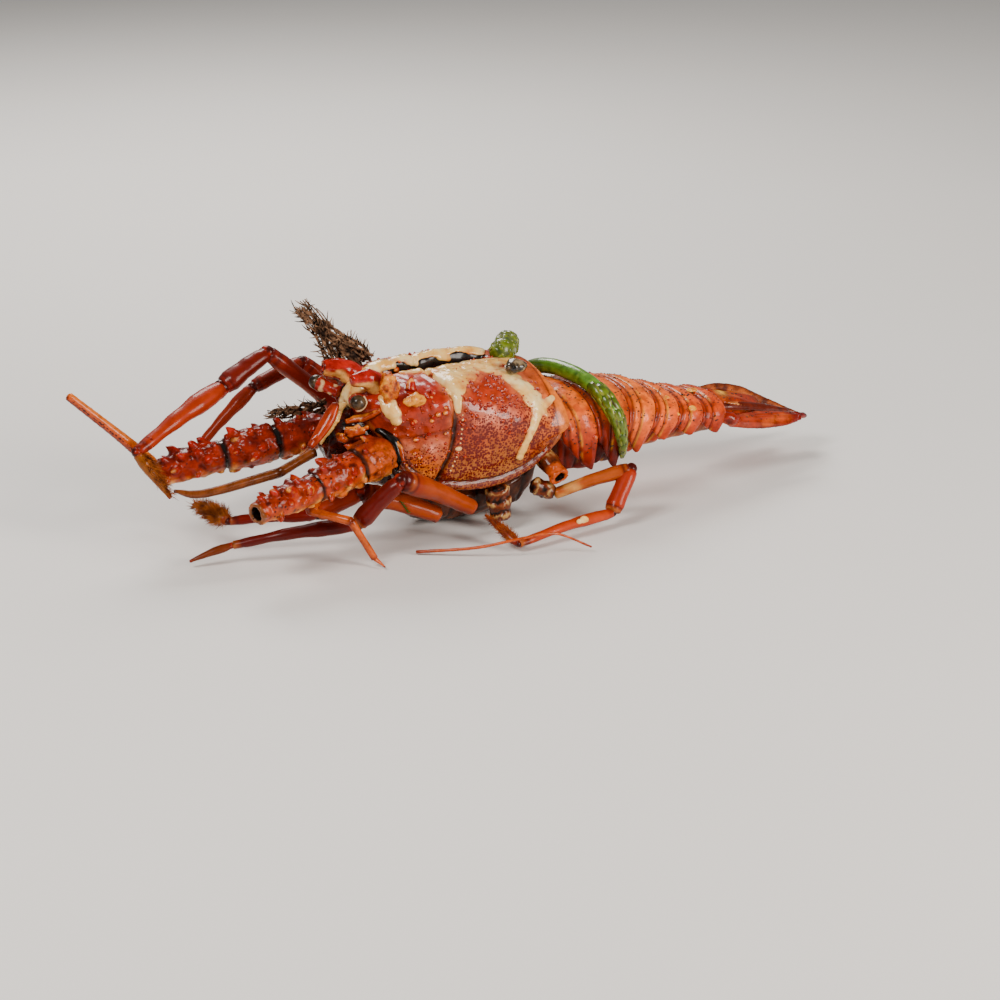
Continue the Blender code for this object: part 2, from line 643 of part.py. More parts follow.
# ---------------------------------------------------------------- legs


def setback(radius, before, after):
    """How far a piece stops short of its joint, so that the next one can turn away from it."""
    bend = before.angle(after)
    return radius * math.tan(min(bend, math.radians(125)) / 2) * 0.7 + GAP


def make_leg(name, joints, thickness, looks):
    """The pieces of a leg from its joints, each thinner where it meets the next."""
    joints = [Vector(joint) for joint in joints]
    lines = [b - a for a, b in zip(joints, joints[1:])]
    for i, part in enumerate(LEG_PARTS):
        start, end = joints[i], joints[i + 1]
        direction = lines[i].normalized()
        first, last = thickness[i]
        neck = 0.72 * first if i else first
        wrist = 0.86 * last
        if i > 0:
            start = start + direction * setback(neck, lines[i - 1], lines[i])
        if i < len(lines) - 1:
            end = end - direction * setback(wrist, lines[i], lines[i + 1])
        path = shaped(start, end, 5)
        path = [point + Vector((0, 0, LEG_ARCH * lines[i].length * math.sin(math.pi * k / 4)))
                for k, point in enumerate(path)]
        middle = (first + last) / 2
        piece = limb(f"{name}_{part}", path, (neck, first, middle, last, wrist), looks[i], 8, LEG_FLATNESS)
        if i > 0 and lines[i - 1].angle(lines[i]) > SHARP_BEND:
            clear_of(piece, previous)
        previous = piece


def make_legs(carapace, breast):
    """Five legs spread in full, two stumps, and three folded away on the right side."""
    for name, (joints, thickness) in LEGS.items():
        make_leg(name, joints, thickness, (SHELL, SHELL_RED, SHELL_RED, HAIR))
    start, end, first, last = LEG_BASIS
    basis = limb("leg_left4_basis", shaped(start, end, 4), (first, last), SHELL, 10)
    clear_of(basis, breast, carapace, bpy.data.objects["leg_left4_thigh"])
    for name, (start, end, first, last, hollow) in STUMPS.items():
        stump = limb(name, shaped(start, end, 4), (first, last), FLESH, 12, 1.0, hollow, 0.62)
        clear_of(stump, breast, carapace)
    for name, joints in FOLDED_LEGS.items():
        leg = tube(name, joints, FOLDED_LEG_RADII, SHELL, 10, 2)
        clear_of(leg, breast, carapace)


# ---------------------------------------------------------------- garnish


def make_spear():
    """The asparagus spear that lies across the tail, held just off its surface."""
    power = 2 / ABDOMEN_FULLNESS
    points = []
    for i in range(10):
        share = i / 9
        x = SPEAR_X[0] + (SPEAR_X[1] - SPEAR_X[0]) * share
        angle = math.radians(SPEAR_TURN[0] + (SPEAR_TURN[1] - SPEAR_TURN[0]) * share)
        half, top, bottom = profile(ABDOMEN, x)
        middle = (bottom + top) / 2
        reach = ASPARAGUS_RADIUS + SPEAR_CLEARANCE
        y = (half + reach) * math.copysign(abs(math.sin(angle)) ** power, math.sin(angle))
        z = middle + (top - middle + reach) * math.copysign(abs(math.cos(angle)) ** power, math.cos(angle))
        points.append((x, y, z))
    radii = [ASPARAGUS_RADIUS * share for share in (0.86, 0.92, 0.96, 1.0, 1.02, 1.04, 0.9, 0.35)]
    tube("asparagus_spear", points, radii, GREEN, 15, 2)


def make_garnish(carapace):
    """Asparagus, burnt herb sprigs, a mushroom, a crust chunk and a cheese nugget."""
    make_spear()
    bud = tube("asparagus_bud", BUD, BUD_RADII, GREEN, 10, 2)
    clear_of(bud, carapace)
    for name, (base, tip, wide, narrow) in (("sprig_large", SPRIG_LARGE), ("sprig_small", SPRIG_SMALL)):
        path = shaped(base, tip, 8)
        rings = tube_rings(path, (0.75 * wide, wide, 0.7 * wide, narrow, 0.5 * narrow), 10)
        for i, ring in enumerate(rings):
            for k, point in enumerate(ring):
                wave = 1 + 0.16 * math.sin(2.1 * k + 1.7 * i) + 0.08 * math.sin(3.7 * k - 2.3 * i)
                ring[k] = path[i] + (point - path[i]) * wave
        sprig = add_object(name, mesh_from(loft(rings), name), HERB)
        if name == "sprig_large":
            clear_of(sprig, carapace)
    looks = {"mushroom": MUSHROOM, "crust_chunk": FRIED, "cheese_nugget": FRIED}
    for name, (centre, half_sizes, turn) in LUMPS.items():
        lump = blob(name, centre, half_sizes, turn, looks[name])
        clear_of(lump, carapace)


# ---------------------------------------------------------------- the lobster

carapace = make_carapace()
breast = make_breast()
head = make_head(carapace, breast)
make_eyes(head, carapace)
make_antennae(head, carapace)
make_antennules(head)
make_abdomen(carapace, breast)
make_tail_fan()
make_legs(carapace, breast)
make_garnish(carapace)
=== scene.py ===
"""Looks of a whole cooked spiny lobster with cheese sauce, asparagus, herbs and grilled pieces.

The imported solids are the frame. Every shape below is worked in millimetres in the same frame
and scaled to metres when it becomes a piece. The lobster faces -X and its left side is at -Y.
"""
import math

import bmesh
import bpy
import numpy as np
from mathutils import Matrix, Vector, noise
from mathutils.bvhtree import BVHTree


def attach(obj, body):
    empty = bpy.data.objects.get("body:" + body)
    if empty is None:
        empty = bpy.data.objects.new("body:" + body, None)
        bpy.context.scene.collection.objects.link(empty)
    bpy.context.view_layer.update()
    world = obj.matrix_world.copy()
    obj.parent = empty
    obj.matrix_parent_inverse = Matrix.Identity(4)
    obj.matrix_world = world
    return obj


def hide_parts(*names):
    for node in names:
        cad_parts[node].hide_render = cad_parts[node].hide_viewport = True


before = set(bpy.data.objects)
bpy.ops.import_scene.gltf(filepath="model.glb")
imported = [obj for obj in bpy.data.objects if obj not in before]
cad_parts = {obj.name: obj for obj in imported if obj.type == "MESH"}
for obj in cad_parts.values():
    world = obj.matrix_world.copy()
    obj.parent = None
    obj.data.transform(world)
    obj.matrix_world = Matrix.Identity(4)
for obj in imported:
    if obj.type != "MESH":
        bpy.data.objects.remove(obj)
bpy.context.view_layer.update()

# ---------------- table, light and camera
# A matt, pale table top runs off in all directions. One large soft light stands in front on the
# right, a smaller one stands over the head, and a third behind picks out the top edge.


def linear(code):
    """An sRGB hex colour as linear light."""
    channels = [int(code[i:i + 2], 16) / 255 for i in (0, 2, 4)]
    return tuple(c / 12.92 if c <= 0.04045 else ((c + 0.055) / 1.055) ** 2.4 for c in channels)


def thing(name, data):
    """A new object in the scene."""
    made = bpy.data.objects.new(name, data)
    bpy.context.scene.collection.objects.link(made)
    return made


def add(tree, kind, inputs=None, **settings):
    """One node of a tree, with its settings, and a value or another node's output for each input."""
    made = tree.nodes.new(kind)
    for key, value in settings.items():
        setattr(made, key, value)
    for key, value in (inputs or {}).items():
        if isinstance(value, bpy.types.NodeSocket):
            tree.links.new(value, made.inputs[key])
        else:
            made.inputs[key].default_value = value
    return made


def finish(name, **values):
    """A new material, its tree and its shader, with values set on the shader's own sockets."""
    made = bpy.data.materials.new(name)
    made.use_nodes = True
    shader = made.node_tree.nodes["Principled BSDF"]
    for key, value in values.items():
        shader.inputs[key.replace("_", " ")].default_value = value
    return made, made.node_tree, shader


TABLE_HALF, TABLE_TOP = 3.0, -0.0002          # metres
table = thing("table", bpy.data.meshes.new("table"))
table.data.from_pydata([(TABLE_HALF * side, TABLE_HALF * end, TABLE_TOP)
                        for side, end in ((-1, -1), (1, -1), (1, 1), (-1, 1))], [], [(0, 1, 2, 3)])
# Matt painted board: pale, with the faintest cloudiness from the roller.
board, tree, shader = finish("matt_painted_board", Roughness=0.75)
place = add(tree, "ShaderNodeTexCoord")
clouds = add(tree, "ShaderNodeTexNoise", {"Vector": place.outputs["Object"], "Scale": 3.0})
pale = add(tree, "ShaderNodeMix", {"Factor": clouds.outputs["Fac"], 6: (*linear("F0EEEA"), 1),
                                   7: (*linear("F5F4F1"), 1)}, data_type="RGBA")
tree.links.new(pale.outputs[2], shader.inputs["Base Color"])
table.data.materials.append(board)

world = bpy.data.worlds.new("room")
world.use_nodes = True
sky = world.node_tree.nodes["Background"].inputs
sky["Color"].default_value, sky["Strength"].default_value = (*linear("FFFCF8"), 1), 0.22
bpy.context.scene.world = world

MIDDLE = Vector((0.01, 0.0, 0.05))
LIGHTS = {  # place in metres, width and height, power in watts, colour
    "key_light": ((0.62, -1.35, 0.62), (0.55, 0.95), 27, "FFF6EE"),
    "left_light": ((-0.95, -0.35, 1.05), (0.45, 0.45), 13, "FFF8F2"),
    "back_light": ((0.25, 1.05, 0.95), (0.6, 0.6), 14, "FFF9F4"),
}
for name, (spot, (wide, tall), power, colour) in LIGHTS.items():
    lamp = bpy.data.lights.new(name, "AREA")
    lamp.shape, lamp.size, lamp.size_y = "RECTANGLE", wide, tall
    lamp.energy, lamp.color = power, linear(colour)
    holder = thing(name, lamp)
    holder.location = spot
    holder.rotation_euler = (MIDDLE - Vector(spot)).to_track_quat("-Z", "Y").to_euler()

CAMERA_AT = Vector((-0.864, -1.520, 0.601))
CAMERA_TURN, CAMERA_DOWN = math.radians(30.48), math.radians(18.7)
lens = bpy.data.cameras.new("camera")
lens.lens, lens.sensor_width = 117.6, 36
camera = thing("camera", lens)
camera.location = CAMERA_AT
looking = Vector((math.sin(CAMERA_TURN) * math.cos(CAMERA_DOWN),
                  math.cos(CAMERA_TURN) * math.cos(CAMERA_DOWN), -math.sin(CAMERA_DOWN)))
camera.rotation_euler = looking.to_track_quat("-Z", "Y").to_euler()
bpy.context.scene.camera = camera

# ---------------- body shell
# The carapace of a spiny lobster is one thick, brittle shell of chitin that turns orange-red in
# the pot. A groove crosses its neck, painted near black as the shade in it; spines and grains
# stand on its front part, and the sides behind are tan with close rust-coloured dots. Oil from
# the grill makes it glossy.

MM = 0.001
SHARP = 0.65          # edges that turn by more radians than this can be held


def even(mesh, voxel, soften, levels=1):
    """The same form as a fine, even mesh: rounded, remeshed and smoothed. Millimetres."""
    holder = thing("rough", mesh)
    if levels:
        rounding = holder.modifiers.new("round", "SUBSURF")
        rounding.levels = rounding.render_levels = levels
    remesh = holder.modifiers.new("even", "REMESH")
    remesh.mode, remesh.voxel_size = "VOXEL", voxel
    smooth = holder.modifiers.new("soften", "SMOOTH")
    smooth.factor, smooth.iterations = 0.5, soften
    evaluated = holder.evaluated_get(bpy.context.evaluated_depsgraph_get())
    made = bpy.data.meshes.new_from_object(evaluated)
    bpy.data.objects.remove(holder)
    return made


def mesh_of(bm, turn=True):
    """The bmesh as a mesh, with its faces turned to point out."""
    if turn:
        bmesh.ops.recalc_face_normals(bm, faces=bm.faces)
    made = bpy.data.meshes.new("made")
    bm.to_mesh(made)
    bm.free()
    return made


def solid_of(*nodes, keep=0.0):
    """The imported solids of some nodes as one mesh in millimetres. keep holds sharp edges in place."""
    bm = bmesh.new()
    for node in nodes:
        bm.from_mesh(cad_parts[node].data)
    bmesh.ops.scale(bm, vec=(1000, 1000, 1000), verts=bm.verts)
    bmesh.ops.remove_doubles(bm, verts=bm.verts, dist=0.002)
    bmesh.ops.join_triangles(bm, faces=bm.faces, angle_face_threshold=0.5,
                             angle_shape_threshold=0.9)
    if keep:
        held = bm.edges.layers.float.new("crease_edge")
        for edge in bm.edges:
            edge[held] = keep if edge.calc_face_angle(0) > SHARP else 0
    return mesh_of(bm, False)


def points_of(mesh):
    """Points and outward directions of a mesh, as arrays."""
    points = np.empty(len(mesh.vertices) * 3, np.float32)
    outward = np.empty_like(points)
    mesh.vertices.foreach_get("co", points)
    mesh.vertex_normals.foreach_get("vector", outward)
    return points.reshape(-1, 3).astype(float), outward.reshape(-1, 3).astype(float)


def swell(mesh, points, outward, height, shift=0.0):
    """Pushes each point of a mesh outward by its height, and shifts them all."""
    moved = points + outward * height[:, None] + shift
    mesh.vertices.foreach_set("co", moved.astype(np.float32).ravel())
    mesh.update()


def ease(values, low, high):
    """0 below low, 1 above high, and a smooth rise between."""
    share = np.clip((values - low) / (high - low), 0, 1)
    return share * share * (3 - 2 * share)


def hump(values, middle, width):
    """1 at the middle, and fading to 0 on both sides of it."""
    return np.exp(-((values - middle) / width) ** 2)


def cloudy(points, grain, seed=0.0):
    """Soft random values from about -1 to 1, that change over the given number of millimetres."""
    return np.array([noise.noise((x / grain + seed, y / grain - seed, z / grain)) for x, y, z in points])


def paint(mesh, name, values):
    """Stores one number or one colour for each point."""
    if values.ndim == 1:
        mesh.attributes.new(name, "FLOAT", "POINT").data.foreach_set("value", values.astype(np.float32))
    else:
        four = np.ones((len(values), 4), np.float32)
        four[:, :3] = values
        mesh.attributes.new(name, "FLOAT_COLOR", "POINT").data.foreach_set("color", four.ravel())


def coat(ground, *layers):
    """Lays colours over painted points one after another, each as thick as its share says."""
    for code, share in layers:
        share = np.clip(share, 0, 1)[:, None]
        ground = ground * (1 - share) + np.array(linear(code)) * share
    return ground


def plain(points, code):
    """The same colour for every point."""
    return np.tile(np.array(linear(code)), (len(points), 1))


def piece_of(name, mesh, material, slot, *nodes):
    """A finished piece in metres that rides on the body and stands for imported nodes."""
    mesh.name = name
    mesh.transform(Matrix.Scale(MM, 4))
    mesh.materials.clear()
    mesh.materials.append(material)
    mesh.shade_smooth()
    made = thing(name, mesh)
    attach(made, "root")
    if nodes:
        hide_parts(*nodes)
    return made


def painted(mesh, ground, dotted):
    """Stores the ground colours of a shell and how thick its dots stand."""
    paint(mesh, "tint", ground)
    paint(mesh, "dotted", dotted + np.zeros(len(ground)))


def dressed(name, mesh, ground, dotted, material, slot, *nodes):
    """A finished piece with painted ground and dots."""
    painted(mesh, ground, dotted)
    piece_of(name, mesh, material, slot, *nodes)


def shell_finish(name, dot_colour, spacing, roughness, gloss, pits=0.12, mottle=1.0):
    """Cooked chitin: painted ground, rust dots of a given spacing, and fine pits, all under oil.

    The ground comes from the piece's tint and the dots show where its dotted value is high.
    """
    made, tree, shader = finish(name, Specular_IOR_Level=0.13, Coat_Weight=gloss, Coat_Roughness=0.13)
    where = add(tree, "ShaderNodeTexCoord").outputs["Object"]
    tint = add(tree, "ShaderNodeAttribute", attribute_name="tint")
    dotted = add(tree, "ShaderNodeAttribute", attribute_name="dotted")
    stains = add(tree, "ShaderNodeTexNoise", {"Vector": where, "Scale": 170, "Detail": 4, "Roughness": 0.65})
    light = add(tree, "ShaderNodeMapRange", {"Value": stains.outputs["Fac"], "From Min": 0.32,
                                             "From Max": 0.68, "To Min": 1 - 0.45 * mottle,
                                             "To Max": 1 + 0.3 * mottle})
    shade = add(tree, "ShaderNodeVectorMath", {0: tint.outputs["Color"], 1: light.outputs["Result"]},
                operation="MULTIPLY")
    cells = add(tree, "ShaderNodeTexVoronoi", {"Vector": where, "Scale": 1000 / spacing, "Randomness": 0.8})
    split = add(tree, "ShaderNodeSeparateColor", {"Color": cells.outputs["Color"]})
    reach = add(tree, "ShaderNodeMapRange", {"Value": split.outputs[0], "To Min": 0.36, "To Max": 0.64})
    wide = add(tree, "ShaderNodeMath", {0: reach.outputs["Result"], 1: dotted.outputs["Fac"]},
               operation="MULTIPLY")
    inside = add(tree, "ShaderNodeMath", {0: wide.outputs[0], 1: cells.outputs["Distance"]},
                 operation="SUBTRACT")
    shown = add(tree, "ShaderNodeMapRange", {"Value": inside.outputs[0], "From Min": -0.07, "From Max": 0.07},
                interpolation_type="SMOOTHSTEP")
    mixed = add(tree, "ShaderNodeMix", {"Factor": shown.outputs[0], 6: shade.outputs[0],
                                        7: (*linear(dot_colour), 1)}, data_type="RGBA")
    tree.links.new(mixed.outputs[2], shader.inputs["Base Color"])
    grain = add(tree, "ShaderNodeTexNoise", {"Vector": where, "Scale": 900, "Detail": 3})
    wet = add(tree, "ShaderNodeMapRange", {"Value": stains.outputs["Fac"], "From Min": 0.35, "From Max": 0.65,
                                           "To Min": roughness - 0.08, "To Max": roughness + 0.12})
    tree.links.new(wet.outputs["Result"], shader.inputs["Roughness"])
    height = add(tree, "ShaderNodeMath", {0: grain.outputs["Fac"], 1: pits, 2: shown.outputs[0]},
                 operation="MULTIPLY_ADD")
    bump = add(tree, "ShaderNodeBump", {"Height": height.outputs[0], "Strength": 0.5, "Distance": 0.0003})
    tree.links.new(bump.outputs["Normal"], shader.inputs["Normal"])
    return made


carapace_chitin = shell_finish("oiled_dotted_chitin", "620A00", 1.35, 0.32, 0.45)

GROOVE_LINE = ((30, -31.0), (40, -26.5), (49, -22.8), (57, -21.0), (68, -20.0), (78, -19.6), (90, -20))
RIM_TALL = 4.4
SLICE, SLICES, FIRST_SLICE = 3, 46, -70


def groove_at(height):
    """Where the neck groove runs at a height."""
    return np.interp(height, *zip(*GROOVE_LINE))


shell = even(solid_of("carapace"), 0.85, 9, 1)
at, out = points_of(shell)
x, y, z = at.T
from_groove = x - groove_at(z)
outer = (np.abs(y - 4) > 5.5) | (z > 86) | (x > 26)          # not the walls of the slit
in_slit = (x > -48) & (x < 24) & (y > 2) & (y < 14)
horned = (x < -54) & (z > 86)
# The lower margin of each side, found from the lowest outward point in each slice.
slices = np.clip(((x - FIRST_SLICE) / SLICE).astype(int), 0, SLICES - 1)
facing = np.abs(out[:, 1]) > 0.5
margin = np.array([z[facing & (slices == k)].min(initial=np.inf) for k in range(SLICES)])
known = margin < np.inf
slice_x = FIRST_SLICE + SLICE * (np.arange(SLICES) + 0.5)
above_margin = z - np.interp(x, slice_x[known], margin[known])
rim = 1 - ease(above_margin, RIM_TALL - 0.6, RIM_TALL + 0.4)
rim_line = hump(above_margin - RIM_TALL, 0.4, 0.7) * facing * (x > -48)
groove = hump(from_groove, 0, 1.3) * outer * ~horned
lip = hump(from_groove, -3.2, 2) * outer * ~horned
front = 1 - ease(from_groove, -0.8, 0.8)
waves = cloudy(at, 14) + 0.5 * cloudy(at, 6, 3)
push = 0.35 * waves * outer - 1.5 * groove + 0.7 * lip - 1.0 * rim_line + 0.3 * rim
push += front * outer * 0.6 * cloudy(at, 4.5, 9)
fold = hump(z - 62 - 0.12 * (x + 40), 0, 1.1) * front * facing * (x > -52)
push -= 0.8 * fold
swell(shell, at, out, push)

ground = coat(
    plain(at, "9A2804"),
    ("A41E02", ease(z, 72, 86) * front),
    ("CC5A0C", front * (1 - ease(z, 46, 68)) * 0.85),
    ("D8822E", front * (1 - ease(z, 36, 50)) * 0.6),
    ("AE2E08", 1 - front),
    ("B44C0C", (1 - front) * (1 - ease(z + 6 * waves, 58, 80)) * 0.85),
    ("A66420", (1 - front) * (1 - ease(z + 6 * waves, 34, 62)) * 0.8),
    ("861602", (1 - front) * (1 - ease(from_groove + 4 * waves, 4, 15)) * 0.75 * ease(z, 40, 60)),
    ("7E1802", ease(waves, 0.25, 0.9) * 0.5),
    ("C85A10", (1 - front) * ease(x, 26, 40) * 0.7),
    ("E0701A", ease(x, 44.0, 45.5) * 0.95),
    ("3A0C02", 0.8 * hump(x, 43.6, 0.5) * outer),
    ("8E4212", rim * facing * 0.85),
    # Painted shade: the neck groove, the pressed-in line above the rim and the fold on the front part are
    # painted near black, as the shade in these creases.
    ("2A0500", np.clip(groove * 1.3 + rim_line * 1.1 + 0.5 * fold, 0, 1)),
    # Painted highlight: the raised lip in front of the groove is painted paler, as if lit along its edge.
    ("D0642A", 0.3 * lip),
    ("9E1604", horned),
    # Painted shade: the walls of the slit are painted near black, as the shade deep inside it.
    ("0C0402", in_slit * (out[:, 1] < -0.1) * (z > 80) * (z < 94.5)),
    ("140602", (~outer) * (1 - ease(z, 84, 88))),
)
# Painted highlight: pink glare patches are painted where the shell bulges most on the left side, as a soft
# light would shine on it.
left_side = facing * (y < 0)
glare_and_whey_film = hump(x, 4, 13) * hump(z, 71, 7) * left_side
glare_and_whey_film += 1.2 * hump(x, -38, 11) * hump(z, 55, 4.5) * left_side
ground = coat(ground, ("F09070", glare_and_whey_film * ease(waves + 0.6 * cloudy(at, 2.6, 5), -0.6, 0.3) * 0.85))
shell_at, shell_ground, shell_outer = at, ground, outer
dotted = np.maximum((1 - front) * (1.05 - 0.75 * ease(z + 5 * waves, 62, 80)),
                    front * (1 - ease(z, 50, 64)) * 0.8)
dotted *= 1 + 0.25 * waves
dotted *= outer * (1 - 0.9 * ease(x, 43, 45)) * (1 - groove)
painted(shell, ground, dotted)
paint(shell, "grainy", front * outer * (z > 40) * (x > -56) * (np.abs(out[:, 2]) < 0.93))
behind = (1 - front) * outer * (1 - groove) * (x < 39)
behind *= ~((y > 1) & (y < 14) & (z < 95) & (z > 70))
paint(shell, "beady", behind * np.maximum(ease(z, 60, 76), 0.8 * (1 - ease(from_groove, 5, 12)) * (z > 46)))
paint(shell, "knobby", behind * facing * (z > 40))


def tree_of(mesh, scale=1):
    """A mesh's faces, ready for the search of the nearest spot on them."""
    return BVHTree.FromPolygons([tuple(vert.co * scale) for vert in mesh.vertices],
                                [tuple(face.vertices) for face in mesh.polygons])


shell_tree = tree_of(shell)

# Grains and beads are part of the same shell: low cones with paler worn tips, and behind the
# groove small round red beads.


def skin_rows(bm, rows):
    """Faces between rings of points, from each ring to the next."""
    sides = len(rows[0])
    for low, high in zip(rows, rows[1:]):
        for k in range(sides):
            bm.faces.new((low[k], low[(k + 1) % sides], high[(k + 1) % sides], high[k]))


def cone(height, width, bend=0.0, sides=7, rings=4):
    """A small pointed grain on its base at the origin, with its tip value stored. Millimetres."""
    bm = bmesh.new()
    layer = bm.verts.layers.float.new("tip")
    rows = []
    for i in range(rings):
        share = i / rings
        radius = width / 2 * (1 - share) ** 0.8
        row = []
        for k in range(sides):
            angle = 2 * math.pi * k / sides
            vert = bm.verts.new((radius * math.cos(angle) + bend * share**2,
                                 radius * math.sin(angle), height * share - 0.15 * height))
            vert[layer] = share
            row.append(vert)
        rows.append(row)
    tip = bm.verts.new((bend, 0, height * 0.92))
    tip[layer] = 1
    skin_rows(bm, rows)
    for k in range(sides):
        bm.faces.new((rows[-1][k], rows[-1][(k + 1) % sides], tip))
    bm.faces.new(rows[0][::-1])
    return mesh_of(bm, False)


def strewn_tree():
    """Geometry nodes that strew a shape over a surface where its mask is high."""
    tree = bpy.data.node_groups.new("strewn", "GeometryNodeTree")
    for name, kind in (("Ground", "Geometry"), ("Shape", "Object"), ("Density", "Float"), ("Mask", "String"),
                       ("Smallest", "Float"), ("Largest", "Float"), ("Lean", "Vector"), ("Seed", "Int"),
                       ("Tumble", "Float"), ("Finish", "Material")):
        tree.interface.new_socket(name, in_out="INPUT", socket_type="NodeSocket" + kind)
    tree.interface.new_socket("Result", in_out="OUTPUT", socket_type="NodeSocketGeometry")
    given = add(tree, "NodeGroupInput").outputs
    mask = add(tree, "GeometryNodeInputNamedAttribute", {"Name": given["Mask"]}, data_type="FLOAT")
    many = add(tree, "ShaderNodeMath", {0: mask.outputs["Attribute"], 1: given["Density"]},
               operation="MULTIPLY")
    dots = add(tree, "GeometryNodeDistributePointsOnFaces",
               {"Mesh": given["Ground"], "Density": many.outputs[0], "Seed": given["Seed"]})
    aim = add(tree, "ShaderNodeVectorMath", {0: dots.outputs["Normal"], 1: given["Lean"]}, operation="ADD")
    loose = add(tree, "FunctionNodeRandomValue", {"Seed": given["Seed"]}, data_type="FLOAT_VECTOR")
    loose.inputs["Min"].default_value, loose.inputs["Max"].default_value = (-1, -1, -1), (1, 1, 1)
    tumble = add(tree, "ShaderNodeVectorMath", {0: loose.outputs["Value"], "Scale": given["Tumble"]},
                 operation="SCALE")
    aimed = add(tree, "ShaderNodeVectorMath", {0: aim.outputs[0], 1: tumble.outputs[0]}, operation="ADD")
    stand = add(tree, "FunctionNodeAlignRotationToVector", {"Vector": aimed.outputs[0]}, axis="Z")
    sizes = add(tree, "FunctionNodeRandomValue", {"Min": given["Smallest"], "Max": given["Largest"],
                                                  "Seed": given["Seed"]}, data_type="FLOAT")
    shape = add(tree, "GeometryNodeObjectInfo", {"Object": given["Shape"]})
    put = add(tree, "GeometryNodeInstanceOnPoints",
              {"Points": dots.outputs["Points"], "Instance": shape.outputs["Geometry"],
               "Rotation": stand.outputs["Rotation"], "Scale": sizes.outputs["Value"]})
    real = add(tree, "GeometryNodeRealizeInstances", {"Geometry": put.outputs[0]})
    done = add(tree, "GeometryNodeSetMaterial", {"Geometry": real.outputs[0], "Material": given["Finish"]})
    add(tree, "NodeGroupOutput", {"Result": done.outputs[0]})
    return tree


STREWN = strewn_tree()


def strewn(ground, shape, material, mask, density, smallest, largest, seed, lean=(0, 0, 0), tumble=0.0):
    """Small shapes strewn over a mesh, as one plain mesh in millimetres."""
    patch, sample = thing("ground", ground), thing("shape", shape)
    modifier = patch.modifiers.new("strewn", "NODES")
    modifier.node_group = STREWN
    given = {"Shape": sample, "Density": density, "Mask": mask, "Smallest": smallest, "Largest": largest,
             "Lean": lean, "Seed": seed, "Tumble": tumble, "Finish": material}
    for item in STREWN.interface.items_tree:
        if item.name in given:
            modifier[item.identifier] = given[item.name]
    bpy.context.view_layer.update()
    made = bpy.data.meshes.new_from_object(patch.evaluated_get(bpy.context.evaluated_depsgraph_get()))
    bpy.data.objects.remove(patch)
    bpy.data.objects.remove(sample)
    return made


def tipped_finish(name, low, high, roughness):
    """A spine's own chitin: the shell's colour at the root and another at its worn tip."""
    made, tree, shader = finish(name, Roughness=roughness, Specular_IOR_Level=0.2, Coat_Weight=0.5,
                                Coat_Roughness=0.1)
    where = add(tree, "ShaderNodeTexCoord").outputs["Object"]
    tip = add(tree, "ShaderNodeAttribute", attribute_name="tip")
    vary = add(tree, "ShaderNodeTexNoise", {"Vector": where, "Scale": 260})
    sway = add(tree, "ShaderNodeMath", {0: vary.outputs["Fac"], 1: 0.9, 2: tip.outputs["Fac"]},
               operation="MULTIPLY_ADD")
    worn = add(tree, "ShaderNodeMapRange", {"Value": sway.outputs[0], "From Min": 0.75, "From Max": 1.2})
    ramp = add(tree, "ShaderNodeValToRGB", {"Fac": worn.outputs["Result"]})
    ramp.color_ramp.elements[0].color = (*linear(low), 1)
    ramp.color_ramp.elements[1].color = (*linear(high), 1)
    tree.links.new(ramp.outputs["Color"], shader.inputs["Base Color"])
    return made


def joined(*meshes):
    """Several meshes as one."""
    bm = bmesh.new()
    for mesh in meshes:
        bm.from_mesh(mesh)
    return mesh_of(bm, False)


grain_chitin = tipped_finish("worn_grain_chitin", "A42804", "E0802A", 0.3)
bead_chitin = tipped_finish("red_bead_chitin", "7A0E02", "B43A0C", 0.28)
grains = strewn(shell, cone(1.7, 3.0, -0.7), grain_chitin, "grainy", 0.010, 0.5, 1.5, 4,
                lean=(-0.5, 0, 0.15))
tubercles = strewn(shell, cone(1.0, 2.2), bead_chitin, "grainy", 0.045, 0.5, 1.2, 7)
beads = strewn(shell, cone(1.3, 2.4), bead_chitin, "beady", 0.08, 0.6, 1.5, 11)
knobs = strewn(shell, cone(1.7, 3.2), bead_chitin, "knobby", 0.005, 0.7, 1.15, 19)
piece_of("carapace_shell", shell, carapace_chitin, "shell", "carapace")
piece_of("carapace_grains", grains, grain_chitin, "shell")
piece_of("carapace_beads", joined(tubercles, beads, knobs), bead_chitin, "red_shell")

# ---------------- head between the feelers
# Under the horns the head is a narrow, dark and knobbly front plate from which the stalks of the
# eyes and all the feelers grow. Cooking leaves it brown-red and wet, and its hollows are painted
# near black as shade.

dark_chitin = shell_finish("dark_wet_chitin", "1E0D07", 2.4, 0.25, 0.6, 0.25)
face = even(solid_of("head_front"), 0.9, 6, 1)
at, out = points_of(face)
lumps = cloudy(at, 5) + 0.5 * cloudy(at, 2.4, 5)
swell(face, at, out, 0.9 * lumps - 0.2)
ground = coat(
    plain(at, "3E0C02"),
    ("8A2404", ease(lumps, 0.0, 0.7)),
    ("D8742A", ease(lumps, 0.6, 1.1)),
    # Painted shade: the hollows between the lumps are painted near black.
    ("0C0402", ease(-lumps, 0.1, 0.7)),
)
dressed("head_plate", face, ground, 0.4, dark_chitin, "dark_head", "head_front")

# ---------------- eyes
# Two stalked eyes look out from under the horns. The cooked ball is dull brown behind a clear,
# wet skin and sits in a cream cuff at the end of its red and white stalk.


def along_line(share, values):
    """The value at a share of the way along evenly spaced ones."""
    return np.interp(share, np.linspace(0, 1, len(values)), values)


def sides_of(way, up=(0, 0, 1)):
    """The directions across a line and over it."""
    across = way.cross(Vector(up)).normalized()
    return across, across.cross(way)


